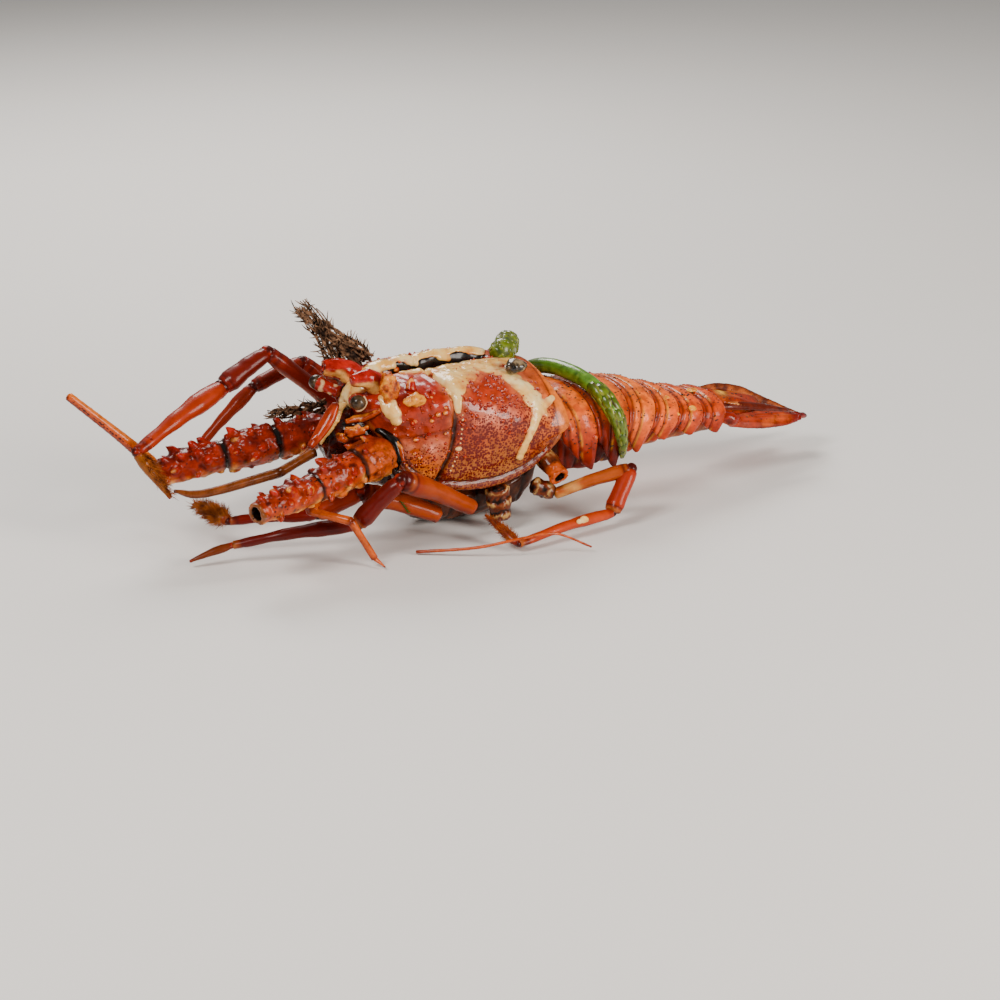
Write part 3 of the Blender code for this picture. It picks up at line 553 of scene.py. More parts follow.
def bar(bm, points, radii, sides=16, steps=24, flat=1.0, up=(0, 0, 1), bore=None):
    """A closed, tapered bar along a smooth line, added to a bmesh. bore is (share, depth)."""
    layers = bm.verts.layers.float
    along, below = layers.get("along") or layers.new("along"), layers.get("below")
    below = below or layers.new("below")
    points = np.array(points, float)
    spots = np.linspace(0, len(points) - 1, steps)
    if len(points) > 2:
        padded = np.vstack((2 * points[0] - points[1], points, 2 * points[-1] - points[-2]))
        line = []
        for spot in spots:
            i = min(int(spot), len(points) - 2)
            t = spot - i
            a, b, c, d = padded[i:i + 4]
            line.append(0.5 * (2 * b + (c - a) * t + (2 * a - 5 * b + 4 * c - d) * t * t
                               + (3 * b - a - 3 * c + d) * t**3))
        line = np.array(line)
    else:
        line = points[0] + (points[1] - points[0]) * spots[:, None]
    widths = along_line(np.linspace(0, 1, steps), radii)
    rows = []
    last = steps - 1
    ends = [(0, 0.55, -0.3), (0, 0.86, -0.12)] + [(i, 1.0, 0.0) for i in range(steps)]
    if bore is None:
        ends += [(last, 0.86, 0.12), (last, 0.55, 0.3)]
    else:
        ends += [(last, bore[0], 0), (last, bore[0], -1)]
    for i, share, stretch in ends:
        way = Vector(line[min(i + 1, last)] - line[max(i - 1, 0)]).normalized()
        across, top = sides_of(way, up)
        centre = Vector(line[i]) + way * (stretch * widths[i] if stretch != -1 else -bore[1])
        row = []
        for k in range(sides):
            angle = 2 * math.pi * k / sides
            vert = bm.verts.new(centre + (across * math.cos(angle) + top * (flat * math.sin(angle)))
                                * widths[i] * share)
            vert[along] = i / last
            vert[below] = -math.sin(angle)
            row.append(vert)
        rows.append(row)
    skin_rows(bm, rows)
    bm.faces.new(rows[0][::-1])
    bm.faces.new(rows[-1])
    return line


def bar_mesh(*shape, **more):
    """One bar as a mesh of its own."""
    bm = bmesh.new()
    bar(bm, *shape, **more)
    return mesh_of(bm)


def ball(bm, centre, half_sizes, turn=None, detail=2):
    """A stretched ball added to a bmesh."""
    made = bmesh.ops.create_icosphere(bm, subdivisions=detail, radius=1)["verts"]
    placing = Matrix.Translation(centre) @ (turn or Matrix.Identity(4)) @ Matrix.Diagonal((*half_sizes, 1))
    bmesh.ops.transform(bm, matrix=placing, verts=made)


def speckled(name, scale, detail, grain, *stops, bump=None, **values):
    """A finish in small clouds of colour, with bumps of a given strength and distance in metres."""
    made, tree, shader = finish(name, **values)
    where = add(tree, "ShaderNodeTexCoord").outputs["Object"]
    clouds = add(tree, "ShaderNodeTexNoise", {"Vector": where, "Scale": scale, "Detail": detail,
                                              "Roughness": grain})
    ramp = add(tree, "ShaderNodeValToRGB", {"Fac": clouds.outputs["Fac"]})
    ends = ramp.color_ramp.elements
    ends[0].position, ends[1].position = stops[0][0], stops[-1][0]
    ends[0].color, ends[1].color = (*linear(stops[0][1]), 1), (*linear(stops[-1][1]), 1)
    for place, code in stops[1:-1]:
        ends.new(place).color = (*linear(code), 1)
    tree.links.new(ramp.outputs["Color"], shader.inputs["Base Color"])
    if bump:
        rough = add(tree, "ShaderNodeBump", {"Height": clouds.outputs["Fac"], "Strength": bump[0],
                                             "Distance": bump[1]})
        tree.links.new(rough.outputs["Normal"], shader.inputs["Normal"])
    return made


# Boiled eye: brown and clouded inside, with a smooth wet surface.
eye_skin = speckled("clouded_wet_eye", 220, 3, 0.5, (0.35, "1E150C"), (0.7, "6A5034"), Roughness=0.35,
                    Specular_IOR_Level=0.15, Coat_Weight=0.4, Coat_Roughness=0.1)
stalk_chitin = shell_finish("red_and_cream_chitin", "5A0A02", 2.0, 0.28, 0.5)
EYES = {"left": ((-70.5, -20, 83), (-66, -8, 80)), "right": ((-75, 20, 85), (-67, 9, 80.5))}
EYE_RADIUS, CUFF_BEADS = 4.4, 26
for side_name, (centre, root) in EYES.items():
    centre, root = Vector(centre), Vector(root)
    bm = bmesh.new()
    ball(bm, centre, (EYE_RADIUS, EYE_RADIUS, EYE_RADIUS * 0.94), detail=4)
    piece_of(f"eye_{side_name}_ball", mesh_of(bm), eye_skin, "eye", f"eye_{side_name}")
    bm = bmesh.new()
    inward = (root - centre).normalized()
    bar(bm, (root, root.lerp(centre, 0.45), centre + inward * 1.5), (4.0, 3.3, 3.6, 4.6), 20, 12)
    cuff = inward.to_track_quat("Z", "Y").to_matrix().to_4x4()
    for k in range(CUFF_BEADS):
        angle = 2 * math.pi * k / CUFF_BEADS
        outward = cuff.to_3x3() @ Vector((math.cos(angle), math.sin(angle), 0))
        fat = 1.4 if outward.x - 0.6 * outward.z > 0.3 else 0.4
        ball(bm, centre + inward * 1.7 + outward * 4.0, (fat, fat, fat), detail=2)
    stalk = even(mesh_of(bm), 0.4, 3, 0)
    at, out = points_of(stalk)
    lumps = cloudy(at, 3.2, 7)
    swell(stalk, at, out, 0.3 * lumps)
    near_ball = 1 - ease(np.linalg.norm(at - np.array(centre), axis=1), 4.2, 6.2)
    cuffed = near_ball * ease(out @ np.array((0.86, -0.5, -0.35)), 0.05, 0.5)
    ground = coat(plain(at, "9A1604"), ("F4D49A", np.maximum(ease(lumps, 0.2, 0.6) * 0.8, cuffed)))
    dressed(f"eye_{side_name}_stalk", stalk, ground, 0.3 * (1 - near_ball), stalk_chitin, "red_shell")

# ---------------- horns, socket and front plates
# Two horns jut over the eyes: the right one is worn open at its tip, the left one is a blunt red
# crescent with a cream edge below. A glossy near-black lining is laid into the socket that the
# left antenna sits in, as painted shade of that hollow, and knobbly orange plates close the head
# between the socket and the eye.

horn_chitin = shell_finish("red_and_cream_horn", "6A0A00", 2.6, 0.26, 0.5)
HORNS = {
    "left": (((-50, -13, 83), (-56, -14, 89.5), (-62, -15, 93.8), (-71, -15, 94)),
             (6.8, 6.4, 5.6, 3.4), None),
    "right": (((-52, 11, 83), (-59, 11, 90), (-66, 12.5, 93.5), (-74, 14.5, 94.5)),
              (7.7, 6.9, 5.7, 4.2), (0.62, 3.0)),
}
for side_name, (line, radii, bore) in HORNS.items():
    horn = even(bar_mesh(line, radii, 24, 24, bore=bore), 0.5, 2, 0)
    at, out = points_of(horn)
    lumps = cloudy(at, 4.5, 3) + 0.4 * cloudy(at, 2, 5)
    swell(horn, at, out, 0.35 * lumps)
    under = ease(-out[:, 2] + 0.35 * lumps, -0.1, 0.35)
    ground = coat(
        plain(at, "A81404"),
        ("7A0C02", ease(lumps, 0.2, 0.8) * 0.7),
        ("F2B660", under * ease(at[:, 0], -75, -66) * 0.9),
        # Painted shade: the faces turned straight down are darker red.
        ("8A1404", ease(-out[:, 2], 0.55, 0.85)),
        ("2A0A04", 1 - ease(at[:, 0], -75.5 if bore else -75, -72.5)),
        ("F0A04A", bool(bore) * under * (1 - ease(at[:, 0], -72, -64)) * 0.8),
        # Painted shade: the open bore of the right horn is painted near black inside.
        ("1A0804", bool(bore) * (np.hypot(at[:, 1] - 14.2, at[:, 2] - 94.3) < 2.9) * (at[:, 0] < -69)),
    )
    dressed(f"horn_{side_name}", horn, ground, 0, horn_chitin, "red_shell")

# Painted shade: the socket is a hollow, and this near-black glossy lining stands for the shade in it.
socket_shade_finish = shell_finish("black_socket_shade", "040202", 1.6, 0.3, 0.45, 0.3)
SOCKET = ((-62, -4, 62), (-61, -14, 65.5), (-59, -20.5, 66.5), (-56, -26, 64.5), (-53.5, -31, 59.5),
          (-53, -34, 53), (-55, -34.5, 46))
lining = bar_mesh(SOCKET, (1.4, 2.8, 3.6, 3.2, 1.6), 24, 60, 0.7)
at, out = points_of(lining)
swell(lining, at, out, cloudy(at, 7) + 0.08 * cloudy(at, 2.5), (0.5, 1.2, -0.4))
ground = coat(plain(at, "070403"), ("2A1206", ease(cloudy(at, 4), 0.3, 0.8)))
dressed("socket_lining", lining, ground, 0, socket_shade_finish, "dark_head")

PLATES = (  # line of each ridge and its radii
    (((-74, -12, 70.5), (-68.5, -14, 71.5), (-64, -17.5, 73), (-58.5, -24.5, 78)), (1.6, 2.4, 2.6, 2.0)),
    (((-53.5, -28.5, 62), (-51.5, -33, 57), (-51.5, -36, 51)), (1.2, 1.5, 1.1)),
    (((-76, -15.5, 67), (-72, -18, 66), (-67, -20, 66.5)), (2.0, 3.0, 2.2)),
    (((-80, -13, 64), (-77, -18, 61.5)), (1.8, 2.6, 1.6)),
)
bm = bmesh.new()
for line, radii in PLATES:
    bar(bm, line, radii, 14, 20)
for spot in ((-70, -18.5, 68.5), (-74, -18.5, 64), (-66, -20.5, 68), (-79, -16, 64.5)):
    ball(bm, spot, (1.7, 1.7, 1.5))
plates = even(mesh_of(bm), 0.5, 2, 0)
at, out = points_of(plates)
lumps = cloudy(at, 3.2, 4) + 0.5 * cloudy(at, 1.6)
swell(plates, at, out, 0.4 * lumps)
# Painted light and shade: faces turned up are paler orange and faces turned down near black; the yellow on
# the lump tops is partly their own colour and partly painted highlight.
ground = coat(
    plain(at, "A83A06"),
    ("E07E1E", ease(out[:, 2] + 0.5 * lumps, 0.3, 0.9)),
    ("F2A850", ease(lumps, 0.55, 0.9)),
    ("3A0A00", ease(-out[:, 2], 0.2, 0.7)),
)
dressed("front_plates", plates, ground, 0.3, horn_chitin, "red_shell")

# Worn cream grains stand in a row just behind the groove and a few red spines on the front.
CREAM_GRAINS = 13
bm = bmesh.new()
for k in range(CREAM_GRAINS):
    height = GROOVE_LINE[1][0] + 2.7 * k
    found, normal = shell_tree.find_nearest((float(groove_at(height)) + 4.2, -38, height))[:2]
    fat = 0.55 + 0.25 * math.sin(3.1 * k)
    ball(bm, found + normal * 0.2, (fat, fat, fat))
found, normal = shell_tree.find_nearest((-18, -38, 53))[:2]
ball(bm, found + normal * 0.4, (2.2, 1.2, 1.3))
cream_grain = tipped_finish("cream_grain", "E8A868", "F8D49A", 0.3)
made = mesh_of(bm)
paint(made, "tip", np.full(len(made.vertices), 0.5))
piece_of("cream_grains", made, cream_grain, "shell")

bm = bmesh.new()
for foot, point, wide in (
        ((-40, -24, 86.5), (-38.5, -22, 93.5), 3.4), ((-30, -30, 84), (-31, -31, 87.5), 1.6),
        ((-45, -35, 71), (-47, -37.5, 72), 1.6), ((-36, -37, 64), (-38, -39.6, 64.5), 1.5),
        ((-33, -36.5, 73), (-35, -39, 74), 1.4)):
    foot, point = Vector(foot), Vector(point)
    bar(bm, (foot, foot.lerp(point, 0.55), point), (wide, 0.7 * wide, 0.25 * wide), 14, 10)
spines = even(mesh_of(bm), 0.4, 2, 0)
at, out = points_of(spines)
ground = coat(plain(at, "A81404"), ("EE9A50", ease(cloudy(at, 2.5, 8), 0.25, 0.6)))
dressed("front_spines", spines, ground, 0, horn_chitin, "red_shell")

# ---------------- thick antennae
# Each antenna begins with three stout, spiny segments of thick chitin, jointed by black skin.
# The left one has lost its whip and shows the hollow, cream rim; the right one keeps its whip,
# an orange rod with rows of tiny dark pores.

antenna_chitin = shell_finish("knobbly_red_chitin", "3A0400", 2.2, 0.36, 0.28, 0.15, 1.2)
ANTENNAE = {
    "antenna_left_1": ((-57.5, -27, 54.5), (-77.5, -31, 51), (9.3, 12.2, 12.6, 11.0), None, 8, 3.0),
    "antenna_left_2": ((-79, -31.5, 50.7), (-105.5, -36.5, 45.5), (9.8, 10.6, 9.8, 9.0), None, 14, 4.4),
    "antenna_left_3": ((-107, -36.8, 45.2), (-146, -45.5, 39.6), (8.6, 8.7, 7.8, 6.3), (0.7, 8.0), 18, 4.8),
    "antenna_right_1": ((-68, 24, 56), (-97, 26, 52.5), (9.2, 11.2, 10.8, 10.0), None, 10, 4.2),
    "antenna_right_2": ((-99, 26.5, 52.2), (-126, 31.5, 48.5), (10.4, 11.8, 11.2, 9.2), None, 12, 4.2),
    "antenna_right_3": ((-128.5, 32, 48.2), (-165.5, 39, 41.5), (8.8, 9.6, 9.0, 7.4), None, 14, 4.0),
}
KNOB_COUNT = 9                                 # knobs between the spines of each segment


def around(across, top, angle):
    """The direction at an angle around a line."""
    return across * math.cos(angle) + top * math.sin(angle)


chance = np.random.default_rng(21)
for name, (start, end, radii, bore, spine_count, spine_tall) in ANTENNAE.items():
    start, end = Vector(start), Vector(end)
    way = (end - start).normalized()
    across, top = sides_of(way)
    bm = bmesh.new()
    bar(bm, (start, end), radii, 20, 16, 0.94, bore=bore)
    for k in range(spine_count):
        share = 0.1 + 0.8 * (k + 0.5) / spine_count + chance.uniform(-0.03, 0.03)
        angle = math.radians(-35 + 250 * ((k * 0.382) % 1) + chance.uniform(-14, 14))
        outward = around(across, top, angle)
        foot = start.lerp(end, share) + outward * (along_line(share, radii) * 0.86)
        tall = 1.35 * spine_tall * chance.uniform(0.45, 1.35)
        point = foot + (outward + way * 0.95).normalized() * (tall + 1.5)
        wide = 0.56 * tall * chance.uniform(0.85, 1.2)
        spine_line = (foot - outward, foot.lerp(point, 0.5) + outward * 0.5, point)
        bar(bm, spine_line, (wide, 0.62 * wide, 0.12), 8, 6)
    for k in range(KNOB_COUNT):
        share, angle = chance.uniform(0.03, 0.97), chance.uniform(0, 2 * math.pi)
        outward = around(across, top, angle)
        size = chance.uniform(2.0, 3.6)
        centre = start.lerp(end, share) + outward * (along_line(share, radii) * 0.93)
        ball(bm, centre, (size * 1.2, size, size * 0.8), detail=1)
    segment = even(mesh_of(bm), 0.6, 4, 0)
    at, out = points_of(segment)
    lumps = cloudy(at, 6.5, 2) + 0.45 * cloudy(at, 2.8, 8)
    share = (at - np.array(start)) @ np.array(way) / (end - start).length
    centre_line = np.array(start) + share[:, None] * np.array(end - start)
    spread = np.linalg.norm(at - centre_line, axis=1)
    proud = spread - along_line(share, radii)
    low = ((at - centre_line) @ np.array(top)) / np.maximum(spread, 0.1)
    swell(segment, at, out, 1.0 * lumps)
    left = "left" in name
    patches = cloudy(at, 5.5, 31) + 0.5 * cloudy(at, 2.2, 17)
    base = "BC4A0A" if name == "antenna_left_1" else "A83204" if left else "922004"
    ground = coat(
        plain(at, base),
        ("D06A12", ease(-low + 0.7 * lumps, 0.1, 0.9) * (0.85 if left else 0.6)),
        ("F0A848", ease(-low + lumps + 0.5 * patches, 0.7, 1.3) * (0.85 if left else 0.75)),
        ("6E0C00", ease(low + lumps, 0.4, 1.2) * 0.8),
        # Painted shade: patches low on the surface between the knobs are near black, as the shade in these
        # crevices.
        ("3A0400", ease(patches, 0.25, 0.8) * ease(-proud, -0.9, 0.3) * 0.9),
        ("A01402", ease(proud, 1.0, 2.2) * 0.8),
        ("EC9A3C", ease(proud, 2.8, 4.6) * ease(patches, -0.1, 0.5) * 0.85),
        ("E89430", ease(-patches, 0.45, 0.9) * ease(proud, 0.2, 1.4) * 0.7),
        ("140502", 1 - ease(share, -0.02, 0.07)),
        ("140502", ease(share, 0.95, 1.02) * 0.9 * (bore is None)),
        ("8A4A1E", bool(bore) * ease(share, 0.955, 0.985)),
        # Painted shade: inside the hollow end of the left antenna is near black.
        ("160A05", bool(bore) * (spread < 0.8 * radii[-1]) * ease(share, 0.7, 0.76) * (share < 0.985)),
        ("17120C", (name == "antenna_right_1") * ease(share, 0.62, 0.72)
         * ease((at - centre_line) @ np.array(across), 2, 5)),
    )
    dotted = 0.55 * ease(cloudy(at, 9, 4), -0.2, 0.4) * (1 - ease(proud, 0.6, 1.6))
    dressed(name + "_spiny", segment, ground, dotted, antenna_chitin, "red_shell", name)

# Joint skin: thin, black and wet, drawn in between the segments.
joint_skin = shell_finish("black_joint_skin", "080402", 1.6, 0.2, 0.7, 0.3)
bm = bmesh.new()
for first, second, width in (
        ((-76, -30.7, 51.2), (-81, -32, 50.4), 9.0), ((-103.5, -36.2, 46), (-109, -37.4, 45), 8.0),
        ((-95, 25.8, 52.8), (-101, 26.9, 52), 9.3), ((-124, 31.2, 48.8), (-130, 32.4, 48), 8.4),
        ((-64, 14, 54), (-70, 22, 55), 8.0), ((-52, -20, 55), (-60, -27, 54), 8.5)):
    bar(bm, (first, second), (width, width * 0.96, width), 20, 8, 0.94)
skin = mesh_of(bm)
at, out = points_of(skin)
ground = coat(plain(at, "0E0805"), ("3A1A08", ease(cloudy(at, 3), 0.2, 0.7)))
dressed("antenna_joint_skin", skin, ground, 0, joint_skin, "dark_head")


def stored(mesh, name):
    """One number for each point, from a mesh's own attribute."""
    values = np.zeros(len(mesh.vertices), np.float32)
    mesh.attributes[name].data.foreach_get("value", values)
    return values.astype(float)


whip_chitin = shell_finish("pored_orange_chitin", "4A0A02", 2.1, 0.3, 0.4)
WHIP_RINGS = 23
whip = bar_mesh(((-164, 39, 43.5), (-169, 43, 50), (-182, 46, 63.5), (-209.5, 50, 89.5)),
                (3.4, 3.9, 3.4, 2.8, 2.4), 20, 60)
at, out = points_of(whip)
along, below = stored(whip, "along"), stored(whip, "below")
ring_step = np.sin(along * WHIP_RINGS * 2 * math.pi)
swell(whip, at, out, 0.08 * ring_step)
# Painted light and shade: the whip is paler orange on top and darker red underneath.
ground = coat(plain(at, "C04808"),
              ("DC7018", ease(-below, -0.2, 0.9)),
              ("6E1402", ease(below, 0.3, 1.0)))
dressed("flagellum_right_whip", whip, ground, hump(below, 0.35, 0.3), whip_chitin, "shell",
        "flagellum_right")

# ---------------- small feelers, palp and whisker
# The antennules and the palp are thin jointed rods of smooth chitin, flat and spined at the root
# of the left one. A loose feeler, thin as a knitting needle, lies on the table beside the body.

rod_chitin = shell_finish("smooth_orange_chitin", "7A1A02", 3.0, 0.28, 0.4, 0.06)


def rods(name, lines, slot, colour, shade, *nodes, sides=14, flat=1.0):
    """Smooth rods in one piece, darker at their ends and, as painted shade, under their sides."""
    bm = bmesh.new()
    for points, radii, steps in lines:
        bar(bm, points, radii, sides, steps, flat)
    made = mesh_of(bm)
    at, out = points_of(made)
    lumps = cloudy(at, 4, 1)
    swell(made, at, out, 0.12 * lumps)
    along, below = stored(made, "along"), stored(made, "below")
    ground = coat(plain(at, colour),
                  (shade, ease(np.abs(along - 0.5), 0.42, 0.5) * 0.8),
                  # Painted shade: the rods are darker under their sides.
                  (shade, 0.5 * ease(below, 0.1, 1.0) + 0.2 * ease(lumps, 0.1, 0.5)))
    dressed(name, made, ground, 0.15, rod_chitin, slot, *nodes)


rods("antennule_left_blade",
     ((((-80, -12, 81.5), (-88, -14, 71), (-98, -16, 61)), (2.6, 4.2, 4.4, 3.6, 2.4), 20),
                              (((-90, -14, 68), (-95, -17, 66.5), (-99, -19.5, 66)), (1.6, 1.1, 0.3), 6)),
     "red_shell", "A83006", "500A00", "antennule_left", flat=0.7)
rods("antennule_right_rod", ((((-86, 3, 51), (-108, 2, 43)), (3.0, 2.6, 2.9), 10),
                             (((-108, 2, 43), (-152, 4, 38), (-168, 9, 40.5)), (2.9, 2.6, 2.2, 1.0), 26)),
     "shell", "7A3A0A", "3A1002", "antennule_right")
rods("palp_left_rod", ((((-98, -23, 33.5), (-106, -31, 30)), (3.0, 2.8, 3.2), 8),
                       (((-106, -31, 30), (-91, -49, 27)), (2.4, 2.3, 2.6), 12),
                       (((-91, -49, 27), (-79, -52.5, 5)), (2.3, 2.0, 2.1), 12),
                       (((-79, -52.5, 5), (-76.5, -60, 1.6)), (1.5, 0.9, 0.3), 8)),
     "shell", "C8540C", "6E1402", "palp_left")
WHISKER = ((-50, -47, 1.6), (-25, -67, 5.5), (-7, -79, 10.5), (9, -83.5, 12.4), (19, -86, 11),
           (34, -93, 3.5))
rods("whisker_loose", ((WHISKER, (0.95, 0.85, 0.75, 0.6), 60),), "shell", "C04C0C", "7A1E04", "whisker",
     sides=8)

# ---------------- breast
# The breastplate under the body is paler, joined plate by plate, and the folds where the legs
# grow out of it are wet and painted near black as shade.

breast_chitin = shell_finish("dark_breast_chitin", "3A0E04", 2.6, 0.4, 0.4, 0.3)
breast = even(solid_of("breast"), 1.1, 5, 1)
at, out = points_of(breast)
folds = np.sin(at[:, 0] / 14.5 * 2 * math.pi)
lumps = cloudy(at, 7) + 0.4 * cloudy(at, 3)
flat_foot = 1 - ease(at[:, 2], 0.5, 4)
swell(breast, at, out, (0.7 * lumps - 1.0 * ease(folds, 0.75, 1.0)) * (1 - flat_foot) - 0.1)
ground = coat(plain(at, "4E2008"),
              ("8A4A18", ease(lumps, 0, 0.8)),
              # Painted shade: the folds between the plates and the hollows are near black.
              ("1A0804", ease(folds, 0.7, 1.0) * 0.8 + ease(-lumps, 0.3, 1.0) * 0.6))
dressed("breast_plate", breast, ground, 0.3, breast_chitin, "flesh", "breast")

# ---------------- walking legs
# Each walking leg has four pieces: a long thigh, a knobbly knee, a slim shin and a pointed toe.
# The chitin is smooth, thin and glossy, deep red at the joints and paler along the underside of
# the right legs; the undersides of the left legs are painted darker as shade.

leg_chitin = shell_finish("smooth_leg_chitin", "6A1000", 3.2, 0.4, 0.22, 0.04, 0.35)
LEGS = {
    # The very dark shins of the first two left legs and the knee of the second are partly their own deep red
    # and partly painted shadow.
    "leg_left1": (((-31, -37, 17), (-72, -25.5, 33.4), (-92, -11, 20), (-139, 3, 20), (-147, 30, 23.5)),
                  ((6.0, 7.2), (5.8, 6.2), (4.8, 3.2), (5.0, 1.2)),
                  ("A23A04", "A02C04", "6E0C00", "8A4A08")),
    "leg_left2": (((-12, -40, 19), (-61, -51, 46), (-82, -38.5, 20.6), (-143, -9, 10.5), (-166, -4, 4)),
                  ((6.0, 7.6), (5.9, 6.6), (5.2, 3.2), (2.8, 0.9)),
                  ("9C3804", "5A0800", "4E0600", "6A2A06")),
    "leg_left4": (((44, -39, 17), (83, -56, 30), (66, -63, 8.8), (0, -72, 4.8), (-6, -46, 15)),
                  ((4.0, 4.8), (5.2, 5.4), (4.0, 2.8), (3.2, 0.9)),
                  ("A8480C", "A42A04", "B83A06", "7E2A06")),
    "leg_right1": (((-40, 44, 50), (-89, 52, 96), (-118.5, 50, 80.8), (-180, 30, 58.5), (-165, 21, 33)),
                   ((5.6, 5.9), (5.8, 7.0), (6.8, 4.2), (4.4, 1.1)),
                   ("7A1600", "640E00", "A02C04", "8A4A08")),
    "leg_right2": (((-20, 50, 44), (-61, 65, 83), (-92, 65, 73), (-126, 65, 44), (-140, 61, 36)),
                   ((5.4, 5.8), (5.6, 5.2), (4.8, 3.2), (1.9, 0.8)),
                   ("8A1E02", "862002", "8E2604", "7A3A08")),
}
PARTS = ("thigh", "knee", "shin", "toe")
TOE, BALL = 3, 5                               # numbers stored for the points of a toe and a joint's ball


def mark(bm, layer, count, number):
    """Stores a number for every point after the first so many."""
    bm.verts.ensure_lookup_table()
    for vert in bm.verts[count:]:
        vert[layer] = number


hairy_toes = []
for name, (joints, widths, colours) in LEGS.items():
    joints = [Vector(joint) for joint in joints]
    bm = bmesh.new()
    piece_layer = bm.verts.layers.float.new("piece")
    for i, (first, last) in enumerate(widths):
        start, end = joints[i], joints[i + 1]
        way = (end - start).normalized()
        begin = start + way * (0.25 * first if i else 0)
        stop = end - way * (0.3 * last if i < TOE else 0)
        middle = begin.lerp(stop, 0.5) + Vector((0, 0, 0.018 * (end - start).length))
        mid = (first + last) / 2
        if i == TOE:
            radii = (0.75 * first, first, 0.95 * first, 0.75 * first, 0.55 * first, last)
        else:
            a, b, c, d = (0.8, 0.97, 1.04, 0.88) if i else (0.9, 1.0, 1.05, 0.92)
            radii = (a * first, b * first, first, 0.98 * mid, 0.97 * mid, 0.98 * last, c * last, d * last)
        count = len(bm.verts)
        bar(bm, (begin, middle, stop), radii, 20, 30, 0.82)
        mark(bm, piece_layer, count, i)
    for i in range(1, 4):
        size = 0.74 * min(widths[i - 1][1], widths[i][0])
        count = len(bm.verts)
        ball(bm, joints[i], (size, size, size * 0.9), detail=3)
        mark(bm, piece_layer, count, BALL)
    leg = mesh_of(bm)
    at, out = points_of(leg)
    which, along, below = stored(leg, "piece"), stored(leg, "along"), stored(leg, "below")
    lumps = cloudy(at, 5, 3) + 0.4 * cloudy(at, 1.8, 6)
    near_end = np.maximum(1 - ease(along, 0.0, 0.12), ease(along, 0.86, 0.98))
    knobs = (which == BALL) | (near_end > 0.3)
    swell(leg, at, out, 0.1 * lumps + 0.5 * cloudy(at, 2.8, 4) * knobs)
    ground = plain(at, colours[0])
    for i, colour in enumerate(colours):
        ground[which == i] = linear(colour)
    upper_parts, left = which < TOE, "left" in name
    under = below + 0.2 * lumps
    worn = (name == "leg_left4") * (which == 0) * (1 - ease(along + 0.1 * lumps, 0.2, 0.5))
    collar = (0.3 if name in ("leg_left2", "leg_left4") else 0.15) * upper_parts * left
    thick, first_way = widths[0][1], np.array((joints[1] - joints[0]).normalized())
    from_knee = at - np.array(joints[1])
    aside = np.linalg.norm(from_knee - (from_knee @ first_way)[:, None] * first_way, axis=1)
    burnt = ease(near_end + 0.5 * cloudy(at, 2.4, 15), 0.75, 1.15) * ease(cloudy(at, 4, 19), 0.05, 0.35)
    ground = coat(
        ground,
        # Painted shade: the undersides of the left legs are darker.
        ("6E1A00", 0.7 * left * ease(under, 0.2, 0.9) * upper_parts),
        ("D06A1E", 0.35 * (not left) * ease(under, 0.5, 1.0) * upper_parts),
        ("E0A050", 0.8 * worn * ease(cloudy(at, 7, 14), -0.3, 0.2)),
        ("7A1200", 0.3 * ease(-below + 0.4 * lumps, 0.5, 1.2) * upper_parts * (which > 0.5)),
        ("7A1000", 0.7 * ease(near_end + 0.4 * lumps, 0.5, 1.0) * (which < 4) * (which > 0.5)),
        ("8A1C02", 0.6 * ease(along + 0.05 * lumps, 0.8, 0.92) * (which == 0)),
        ("F09A40", collar * ease(along, 0.955, 0.985)),
        ("4A0600", 0.8 * hump(along, 0.93, 0.012) * upper_parts),
        ("5A0A02", (which == 0) * (along > 0.97) * ease(-aside, -thick, -0.86 * thick)),
        ("2E0602", 0.75 * burnt * upper_parts),
    )
    ground[which == BALL] = linear("3E0400")
    ground = coat(ground, ("A02004", (which == BALL) * ease(lumps, 0.1, 0.5)))
    painted(leg, ground, 0.6 * hump(along, 0.88, 0.05) * (which == 2) * (name == "leg_right1"))
    facing = ease(out @ np.array((0.86, -0.5, 0.35)), -0.35, 0.3) if name == "leg_right1" else 1.0
    paint(leg, "hairy", (which == TOE) * ease(along, 0.02, 0.1) * (1 - 0.6 * ease(along, 0.8, 1.0)) * facing)
    if name in ("leg_left1", "leg_right1", "leg_left4"):
        hairy_toes.append((name, leg.copy(), joints[4] - joints[3]))
    piece_of(name + "_whole", leg, leg_chitin, "shell", *[f"{name}_{part}" for part in PARTS])

# Bristles: stiff golden hairs, as thick as a toothbrush's, that stand off the toes.
bristle_hair = speckled("golden_bristle", 240, 3, 0.5, (0.35, "4A1402"), (0.68, "C06410"), Roughness=0.5,
                        Specular_IOR_Level=0.2)
for name, ground_mesh, way in hairy_toes:
    tall = 0.55 if name == "leg_left4" else 1.0
    hair = cone(5.2, 0.5, 0.5, 4, 3)
    hairs = strewn(ground_mesh, hair, bristle_hair, "hairy", 1.5, 0.55 * tall, 1.15 * tall, 8,
                   lean=tuple(way.normalized() * 0.9), tumble=0.35)
    piece_of(name + "_bristles", hairs, bristle_hair, "bristles")

# Leg roots and stumps: the banded root of the fourth leg, the broken third leg and the hollow,
# orange end of the fifth, and on the right the three legs that fold away.
stump_chitin = shell_finish("banded_root_chitin", "1E0802", 3.2, 0.35, 0.4, 0.25)


